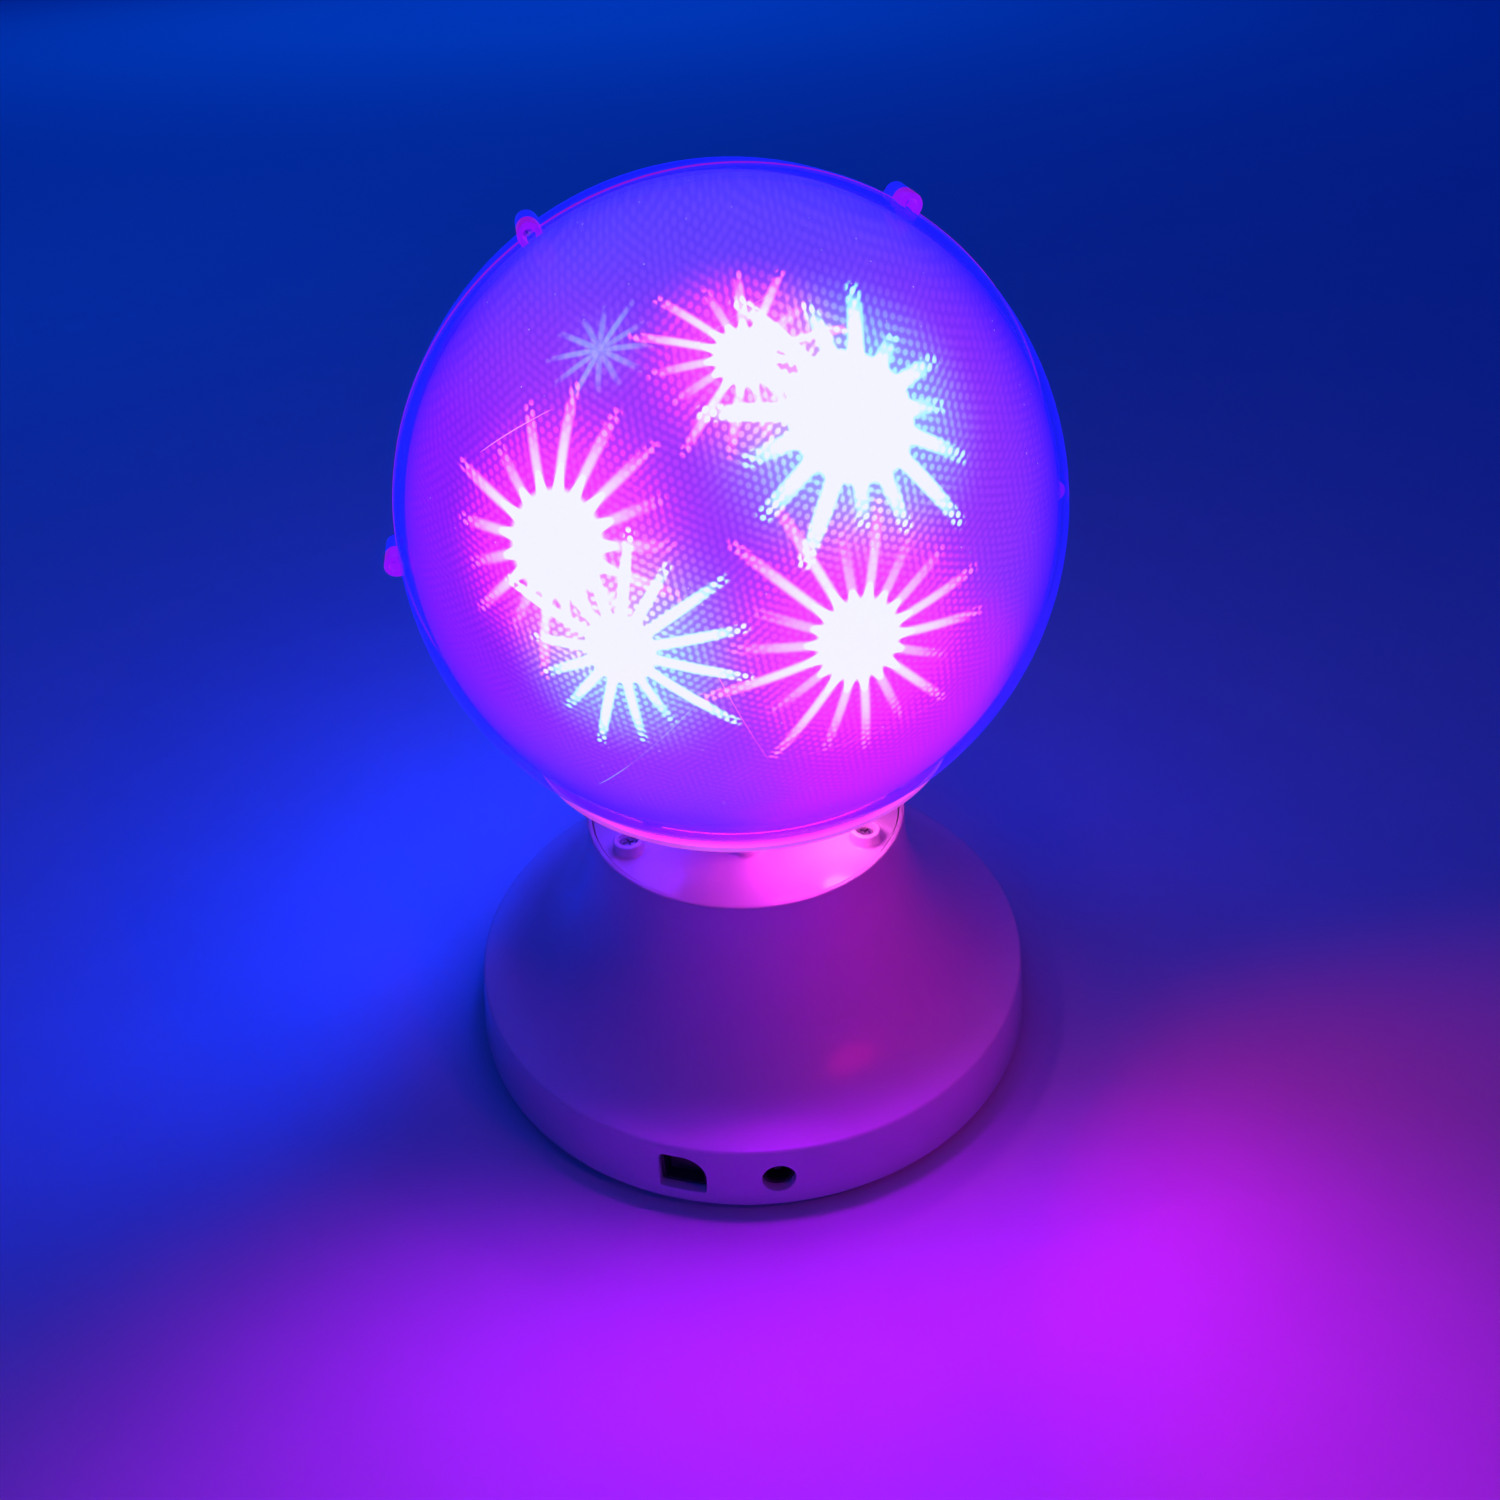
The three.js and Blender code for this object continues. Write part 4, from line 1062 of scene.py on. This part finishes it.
globe = {
    "yaw": math.radians(9),
    "radius": 75 * mm,
    "wall": 1.8 * mm,
    "film": 0.5 * mm,
    "filmGap": 0.5 * mm,
    "rimHeight": 0.3 * mm,
    "rimWidth": 1.6 * mm,
    "gap": 0.15 * mm,
    "lugRadius": 2.4 * mm,
    "lugLength": 6 * mm,
    "lugRise": 0.9 * mm,
    "lugTurns": (0, 60, 120, 180),
    "lugHole": 1.3 * mm,
    "headRoom": 2.1 * mm,
    "headDepth": 2.4 * mm,
    "sides": 128,
    "steps": 44,
    "bossRadius": 3 * mm,
    "bossHeight": 6 * mm,
}


def domeOutline(outer, inner, edge, steps, rim=None):
    # half of a ball's section, from the pole to the seam and back inside, pole at +Z
    last = math.degrees(math.asin(edge / outer))
    points = arc((0, 0), outer, 90, last + (1.8 if rim else 0), steps)
    if rim:
        height, width = rim
        bead = 0.28 * mm
        points += [(outer, edge + width)]
        points += arc((outer + height - bead, edge + width - bead), bead, 60, 0, 3)
        points += arc((outer + height - bead, edge + bead), bead, 0, -90, 3)
    points += arc((0, 0), inner, math.degrees(math.asin(edge / inner)), 90, steps)
    points += [points[0]]
    return points


def seamBlock(name, low):
    # everything below a height, for cutting the mouth
    size = 4 * globe["radius"]
    pickNothing()
    bpy.ops.mesh.primitive_cube_add(size=size, location=(0, 0, low - size / 2))
    bpy.ops.object.transform_apply(location=True, rotation=True, scale=True)
    bpy.context.object.name = name
    return bpy.context.object


def makeLug(settings, turn):
    # a round-ended lug standing on the globe, with a hole for its screw
    radius, rise = settings["lugRadius"], settings["lugRise"]
    centre = settings["radius"] + rise
    foot = settings["radius"] - settings["wall"] / 2
    outline = ([(foot, -radius)] + arc((centre, 0), radius, -90, 90, 10) + [(foot, radius), (foot, -radius)])
    lug = pushed("lug", outline, settings["lugLength"] - settings["gap"])
    soften(lug, 0.35 * mm, 3, 50)
    hole = rodPiece("lugHole", settings["lugHole"], -mm, settings["lugLength"] + mm, sides=24)
    settle(hole, (centre, 0, 0), (math.radians(-90), 0, 0))
    carve(lug, hole)
    settle(lug, (0, settings["gap"], 0))
    return settle(lug, turn=(0, -math.radians(turn), 0))


def makeShell(settings, side, name, node, material):
    print(name)
    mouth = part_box(node)[0].z - globeCentre.z
    radius = settings["radius"]
    outline = domeOutline(radius, radius - settings["wall"], settings["gap"], settings["steps"],
                          (settings["rimHeight"], settings["rimWidth"]))
    shell = turned(name, outline, settings["sides"])
    settle(shell, turn=(math.radians(-90), 0, 0))          # the pole now faces the rear
    carve(shell, seamBlock("mouthCut", mouth))
    length, centre = settings["lugLength"], radius + settings["lugRise"]
    if side > 0:
        for turn in settings["lugTurns"]:       # room in the skin for the seam screws' heads
            angle = math.radians(turn)
            room = rodPiece("headRoom", settings["headRoom"], length - 0.7 * mm, length + settings["headDepth"])
            settle(room, (centre * math.cos(angle), 0, centre * math.sin(angle)), (math.radians(-90), 0, 0))
            carve(shell, room)
    for turn in settings["lugTurns"]:
        weld(shell, makeLug(settings, turn))
    bossCircle = 47.2 * mm
    for turn in (55, 125):
        across, along = bossCircle * math.cos(math.radians(turn)), bossCircle * math.sin(math.radians(turn))
        weld(shell, rodPiece("shellBoss", settings["bossRadius"], mouth, mouth + settings["bossHeight"],
                             across, along, 40))
        carve(shell, rodPiece("shellHole", 1.5 * mm, mouth - mm, mouth + settings["bossHeight"] - mm,
                              across, along, 24))
    if side < 0:
        settle(shell, turn=(0, 0, math.pi))
    settle(shell, globeCentre, (0, 0, settings["yaw"]))
    smooth(shell, 30)
    shell.visible_shadow = False         # the LEDs' light passes through
    return dressed(shell, material, "globe", "clear_shell", node)


def makeFilm(settings, side, name, node, material):
    print(name)
    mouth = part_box(node)[0].z - globeCentre.z
    outer = settings["radius"] - settings["wall"] - settings["filmGap"]
    outline = domeOutline(outer, outer - settings["film"], 0.6 * mm, settings["steps"])
    film = turned(name, outline, settings["sides"])
    settle(film, turn=(math.radians(90 if side < 0 else -90), 0, 0))
    carve(film, seamBlock("filmCut", mouth))
    bossCircle = 47.2 * mm
    for turn in (55, 125):
        angle = math.radians(turn) * side
        carve(film, rodPiece("bossRoom", settings["bossRadius"] + mm, mouth - mm,
                             mouth + settings["bossHeight"] + mm,
                             bossCircle * math.cos(angle), bossCircle * math.sin(angle), 32))
    settle(film, globeCentre, (0, 0, settings["yaw"]))
    smooth(film, 30)
    film.visible_shadow = False
    return dressed(film, material, "globe", "film", node)


collar = {
    "lipRadius": 53 * mm,
    "plateThickness": 3 * mm,
    "lipEdge": 1.2 * mm,
    "lipRound": 0.35 * mm,
    "hubInside": 8.9 * mm,
    "hubOutside": 12.5 * mm,
    "spigotOutside": 43.9 * mm,
    "spigotInside": 41.9 * mm,
    "spigotHeight": 3 * mm,
}


def makeCollar(settings):
    print("collar")
    low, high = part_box("globe_collar")
    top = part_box("globe_front_shell")[0].z - 0.3 * mm
    under = top - settings["plateThickness"]
    lip, edge = settings["lipRadius"], settings["lipRound"]
    hubIn, hubOut = settings["hubInside"], settings["hubOutside"]
    outline = (
        [(hubIn, low.z), (hubOut - 0.4 * mm, low.z), (hubOut, low.z + 0.4 * mm), (hubOut, under - 0.6 * mm)]
        + arc((hubOut + 0.6 * mm, under - 0.6 * mm), 0.6 * mm, 180, 90, 3)
        + [(lip - settings["plateThickness"] + settings["lipEdge"], under)]
        + arc((lip - edge, top - settings["lipEdge"] + edge * 0.4), edge, 315, 360, 4)
        + arc((lip - edge, top - edge), edge, 0, 90, 4)
        + [(settings["spigotOutside"], top), (settings["spigotOutside"], top + settings["spigotHeight"]),
           (settings["spigotInside"], top + settings["spigotHeight"]), (settings["spigotInside"], top),
           (hubOut, top), (hubOut, high.z), (hubIn, high.z), (hubIn, low.z)]
    )
    plate = turned("globeCollar", outline, 144)
    for index in range(4):
        middle = middleOf(f"collar_screw_{index + 1}")
        carve(plate, rodPiece("collarHole", 1.5 * mm, under - mm, top + mm, middle.x, middle.y, 24))
    smooth(plate, 35)
    return dressed(plate, litCollar, "globe", "lip_plastic", "globe_collar")


jack = {
    "turn": 3,
    "bodyWidth": 10 * mm,
    "bodyDepth": 13 * mm,
    "face": 73.4 * mm,
    "nose": 76.4 * mm,
    "noseRadius": 3.9 * mm,
    "barrelRadius": 3.2 * mm,
    "barrelDepth": 12 * mm,
    "pinRadius": 1.05 * mm,
    "pinFront": 74.8 * mm,
}


def makeJack(settings):
    # a moulded body with a round nose, a barrel socket and its centre pin
    print("power jack")
    low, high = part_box("dc_jack")
    middle = (low.z + high.z) / 2
    face, nose = settings["face"], settings["nose"]
    pickNothing()
    bpy.ops.mesh.primitive_cube_add(size=1)
    body = bpy.context.object
    body.name = "powerJack"
    body.scale = (settings["bodyWidth"], settings["bodyDepth"], high.z - low.z)
    settle(body, (0, -face + settings["bodyDepth"] / 2, middle))
    noseRadius, edge, back = settings["noseRadius"], 0.4 * mm, face - settings["bodyDepth"] / 2
    floorPlace = nose - settings["barrelDepth"] * 0.3
    outline = ([(0, back), (noseRadius, back)] + arc((noseRadius - edge, nose - edge), edge, 0, 90, 4)
               + arc((settings["barrelRadius"] + 0.3 * mm, nose - 0.3 * mm), 0.3 * mm, 90, 180, 3)
               + [(settings["barrelRadius"], floorPlace), (0, floorPlace)])
    snout = turned("jackNose", outline, 64)
    settle(snout, turn=(math.radians(90), 0, 0))
    weld(body, settle(snout, (0, 0, middle)))
    barrel = rodPiece("barrel", settings["barrelRadius"], nose - settings["barrelDepth"], nose + mm, sides=64)
    settle(barrel, turn=(math.radians(90), 0, 0))
    carve(body, settle(barrel, (0, 0, middle)))
    pinTip = settings["pinFront"]
    pinOutline = [(0, back - 2 * mm), (settings["pinRadius"], back - 2 * mm)]
    pinOutline += arc((settings["pinRadius"] - 0.4 * mm, pinTip - 0.4 * mm), 0.4 * mm, 0, 90, 4) + [(0, pinTip)]
    pin = turned("jackPin", pinOutline, 32)
    settle(pin, turn=(math.radians(90), 0, 0))
    weld(body, settle(pin, (0, 0, middle)))
    settle(body, turn=(0, 0, math.radians(settings["turn"])))
    soften(body, 0.25 * mm, 2, 50)
    smooth(body, 35)
    return dressed(body, blackMoulding, "base", "black_plastic", "dc_jack")


switch = {
    "turn": -14.5,
    "face": 72.4 * mm,
    "nose": 76.4 * mm,
    "depth": 12 * mm,
    "width": 15 * mm,
    "noseGap": 0.3 * mm,
    "pocketInset": 1.1 * mm,
    "pocketDepth": 7 * mm,
    "rockerInset": 1.7 * mm,
    "pivot": 70.8 * mm,
    "rockerFront": 3.4 * mm,
    "lean": 7,
    "middle": 11.4 * mm,
}


def windowPlug(name, inset, front, back):
    # the window's outline drawn in by a margin, from one distance in front of the axis to another
    plug = pushed(name, windowPoints(housing, -inset), front - back)
    return settle(plug, (0, -front, 0))


def makeSwitch(settings):
    print("switch")
    low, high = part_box("switch_body")
    face, nose = settings["face"], settings["nose"]
    pickNothing()
    bpy.ops.mesh.primitive_cube_add(size=1)
    body = bpy.context.object
    body.name = "switchHousing"
    body.scale = (settings["width"], settings["depth"], high.z - low.z)
    settle(body, (0, -face + settings["depth"] / 2, (low.z + high.z) / 2))
    weld(body, windowPlug("switchNose", settings["noseGap"], nose, face - mm))
    carve(body, windowPlug("switchPocket", settings["pocketInset"], nose + mm, face - settings["pocketDepth"]))
    settle(body, turn=(0, 0, math.radians(settings["turn"])))
    soften(body, 0.2 * mm, 2, 50)
    smooth(body, 35)
    dressed(body, blackMoulding, "base", "black_plastic", "switch_body")

    # the rocker: a shallow V across the window's outline, on a cross pin
    half = housing["windowHeight"] / 2 - settings["rockerInset"]
    front = settings["rockerFront"]
    curve = [(front - 0.9 * mm * (1 - abs(step) / 5) ** 1.5, half * step / 5) for step in range(-5, 6)]
    outline = [(0.6 * mm, -half)] + curve + [(0.6 * mm, half), (-1.8 * mm, 0), (0.6 * mm, -half)]
    width = housing["windowWidth"]
    rocker = pushed("switchRocker", outline, width)
    settle(rocker, (0, -width / 2, 0))
    settle(rocker, turn=(0, 0, math.radians(-90)))
    plug = windowPlug("rockerOutline", settings["rockerInset"], 8 * mm, -8 * mm)
    settle(plug, (0, 0, -settings["middle"]))
    useModifier(rocker, "BOOLEAN", object=plug, operation="INTERSECT", solver="EXACT")
    bpy.data.objects.remove(plug)
    for height in (-2.2, -1.4, 1.4, 2.2):          # finger grooves
        groove = rodPiece("groove", 0.22 * mm, -2.6 * mm, 2.6 * mm, sides=16)
        settle(groove, turn=(0, math.radians(90), 0))
        carve(rocker, settle(groove, (0, -front + 0.45 * mm - abs(height) * 0.12 * mm, height * mm)))
    pin = rodPiece("crossPin", 0.9 * mm, -5.6 * mm, 5.6 * mm, sides=24)
    weld(rocker, settle(pin, turn=(0, math.radians(90), 0)))
    settle(rocker, turn=(math.radians(settings["lean"]), 0, 0))
    settle(rocker, (0, -settings["pivot"], settings["middle"]))
    settle(rocker, turn=(0, 0, math.radians(settings["turn"])))
    smooth(rocker, 30)
    dressed(rocker, blackMoulding, "rocker", "black_plastic", "switch_rocker")


gears = {
    "module": 1 * mm,
    "ringTeeth": 52,
    "pinionTeeth": 12,
    "rise": 0.8 * mm,
    "depth": 1.15 * mm,
    "web": 1.6 * mm,
    "webHole": 12.8 * mm,
    "bore": 1.5 * mm,
}


def toothPoints(teeth, tip, root):
    # rounded straight-sided teeth around the axis
    points = []
    pitch = 2 * math.pi / teeth
    for tooth in range(teeth):
        for radius, share in ((root, -0.25), (root + (tip - root) * 0.82, -0.135), (tip, -0.095),
                              (tip, 0.095), (root + (tip - root) * 0.82, 0.135), (root, 0.25)):
            angle = tooth * pitch + share * pitch
            points.append((radius * math.cos(angle), radius * math.sin(angle)))
    return points + [points[0]]


def toothedPlug(name, points, low, high):
    plug = pushed(name, points, high - low)
    settle(plug, turn=(math.radians(90), 0, 0))
    settle(plug, (0, 0, low))
    return plug


def makeGears(settings):
    print("gears")
    low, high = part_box("ring_gear")
    module, rise, depth = settings["module"], settings["rise"], settings["depth"]
    pitchRadius = module * settings["ringTeeth"] / 2
    outside, edge = high.x, 0.4 * mm
    outline = ([(settings["webHole"], high.z - settings["web"]), (pitchRadius - 2.6 * mm, high.z - settings["web"]),
                (pitchRadius - 2.6 * mm, low.z)]
               + arc((outside - edge, low.z + edge), edge, 270, 360, 3)
               + arc((outside - edge, high.z - edge), edge, 0, 90, 3)
               + [(settings["webHole"], high.z), (settings["webHole"], high.z - settings["web"])])
    ring = turned("ringGear", outline, 96)
    teeth = toothPoints(settings["ringTeeth"], pitchRadius - rise, pitchRadius + depth)
    space = toothedPlug("toothSpace", teeth, low.z - mm, high.z - settings["web"] - 0.01 * mm)
    settle(space, turn=(0, 0, math.radians(-90)))
    carve(ring, space)
    smooth(ring, 30)
    dressed(ring, acetal, "globe", "gear_plastic", "ring_gear")

    low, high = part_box("drive_pinion")
    middle = middleOf("motor_shaft")
    pitchRadius = module * settings["pinionTeeth"] / 2
    teeth = toothPoints(settings["pinionTeeth"], pitchRadius + rise, pitchRadius - depth)
    pinion = toothedPlug("drivePinion", teeth, low.z, high.z)
    settle(pinion, turn=(0, 0, math.radians(-90 + 180 / settings["pinionTeeth"])))
    settle(pinion, (middle.x, middle.y, 0))
    carve(pinion, rodPiece("pinionBore", settings["bore"], low.z - mm, high.z + mm, middle.x, middle.y, 32))
    soften(pinion, 0.12 * mm, 2, 50)
    smooth(pinion, 30)
    dressed(pinion, acetal, "pinion", "gear_plastic", "drive_pinion")


spindle = {
    "radius": 6 * mm,
    "bore": 4 * mm,
    "shoulder": 8.5 * mm,
    "flange": 11 * mm,
    "flangeThickness": 3 * mm,
    "groove": 5.2 * mm,
    "edge": 0.4 * mm,
}


def makeSpindle(settings):
    print("spindle and bearing")
    low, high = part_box("spindle")
    washerLow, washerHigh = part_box("thrust_washer")
    ringLow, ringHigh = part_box("retaining_ring")
    flangeUnder = deck["top"] + 0.3 * mm
    flangeTop = flangeUnder + settings["flangeThickness"]
    shoulderTop = washerLow.z - 0.3 * mm
    radius, edge, bore = settings["radius"], settings["edge"], settings["bore"]
    outline = (
        [(bore, low.z), (radius - edge, low.z), (radius, low.z + edge), (radius, flangeUnder)]
        + arc((settings["flange"] - edge, flangeUnder + edge), edge, 270, 360, 3)
        + arc((settings["flange"] - edge, flangeTop - edge), edge, 0, 90, 3)
        + arc((settings["shoulder"] + mm, flangeTop + mm), mm, 270, 180, 4)
        + arc((settings["shoulder"] - edge, shoulderTop - edge), edge, 0, 90, 3)
        + [(radius, shoulderTop), (radius, ringLow.z - 0.2 * mm), (settings["groove"], ringLow.z - 0.2 * mm),
           (settings["groove"], ringHigh.z + 0.3 * mm), (radius, ringHigh.z + 0.3 * mm)]
        + arc((radius - edge, high.z - edge), edge, 0, 90, 3)
        + [(bore, high.z), (bore, low.z)]
    )
    post = turned("fixedSpindle", outline, 96)
    smooth(post, 30)
    dressed(post, turnedSteel, "base", "motor_steel", "spindle")

    edge = 0.25 * mm
    inside = radius + 0.3 * mm
    washer = turned("thrustWasher", (
        [(inside + edge, washerLow.z)]
        + arc((washerHigh.x - edge, washerLow.z + edge), edge, 270, 360, 3)
        + arc((washerHigh.x - edge, washerHigh.z - edge), edge, 0, 90, 3)
        + [(inside + edge, washerHigh.z), (inside, washerHigh.z - edge), (inside, washerLow.z + edge),
           (inside + edge, washerLow.z)]), 96)
    smooth(washer, 30)
    dressed(washer, acetal, "base", "gear_plastic", "thrust_washer")

    low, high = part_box("hub_bush")
    sleeve = radius + 2.6 * mm
    flangeTop = low.z + 1.5 * mm
    bush = turned("bronzeBush", (
        [(inside + edge, low.z)]
        + arc((high.x - edge, low.z + edge), edge, 270, 360, 3)
        + arc((high.x - edge, flangeTop - edge), edge, 0, 90, 3)
        + [(sleeve, flangeTop), (sleeve, high.z - edge), (sleeve - edge, high.z), (inside + edge, high.z),
           (inside, high.z - edge), (inside, low.z + edge), (inside + edge, low.z)]), 96)
    smooth(bush, 30)
    dressed(bush, sintered, "globe", "bronze", "hub_bush")


# assembly

makeCamera(cameraSettings)
makeLights()

whiteMoulding = whitePlastic()
glossyDeck = deckPlastic()
litCollar = lipPlastic()
footRubber = blackRubber()
platedSteel = screwSteel()
blackMoulding = blackPlastic()
acetal = gearPlastic()
turnedSteel = motorSteel()
sintered = bronze()

bpy.ops.mesh.primitive_plane_add(size=14, location=(0, 3, 0))
floor = bpy.context.object
floor.name = "floor"
floor.data.materials.append(paleFloor())

makeHousing(housing)
makeDeck(deck)
makeCover(cover)
makeFeet(foot)
makeShell(globe, -1, "shellFront", "globe_front_shell", clearShell("clearFront", -1))
makeShell(globe, 1, "shellRear", "globe_rear_shell", clearShell("clearRear", 1))
makeFilm(globe, -1, "filmFrontDome", "film_front", diffractionFilm("filmFrontGlow", -1, frontStars, frontCreases))
makeFilm(globe, 1, "filmRearDome", "film_rear", diffractionFilm("filmRearGlow", 1, rearStars, rearCreases))
makeCollar(collar)
makeScrews()
makeJack(jack)
makeSwitch(switch)
makeGears(gears)
makeSpindle(spindle)

print("finishes of the inner parts")
nodeFinishes = [
    (blackMoulding, "black_plastic", ["gearbox", "board_capacitor", "board_chip", "led_cable"]),
    (turnedSteel, "motor_steel", ["motor_can"]),
    (platedSteel, "screw_steel", ["spindle_nut", "retaining_ring", "motor_shaft"]),
    (circuitBoard(), "circuit_board", ["control_board", "led_board"]),
    (whiteMoulding, "white_plastic", ["led_mast"]),
    (ledLens("pinkLed", starTones["pink"]), "led_lens",
     [f"led_{side}_{index}" for side in ("front", "rear") for index in (1, 3, 5)]),
    (ledLens("cyanLed", starTones["cyan"]), "led_lens",
     [f"led_{side}_{index}" for side in ("front", "rear") for index in (2, 4, 6)]),
]
for material, slotName, names in nodeFinishes:
    for name in names:
        node = frame["nodes"][name]
        node.data.materials.clear()
        node.data.materials.append(material)

bpy.context.scene.view_settings.view_transform = "Standard"
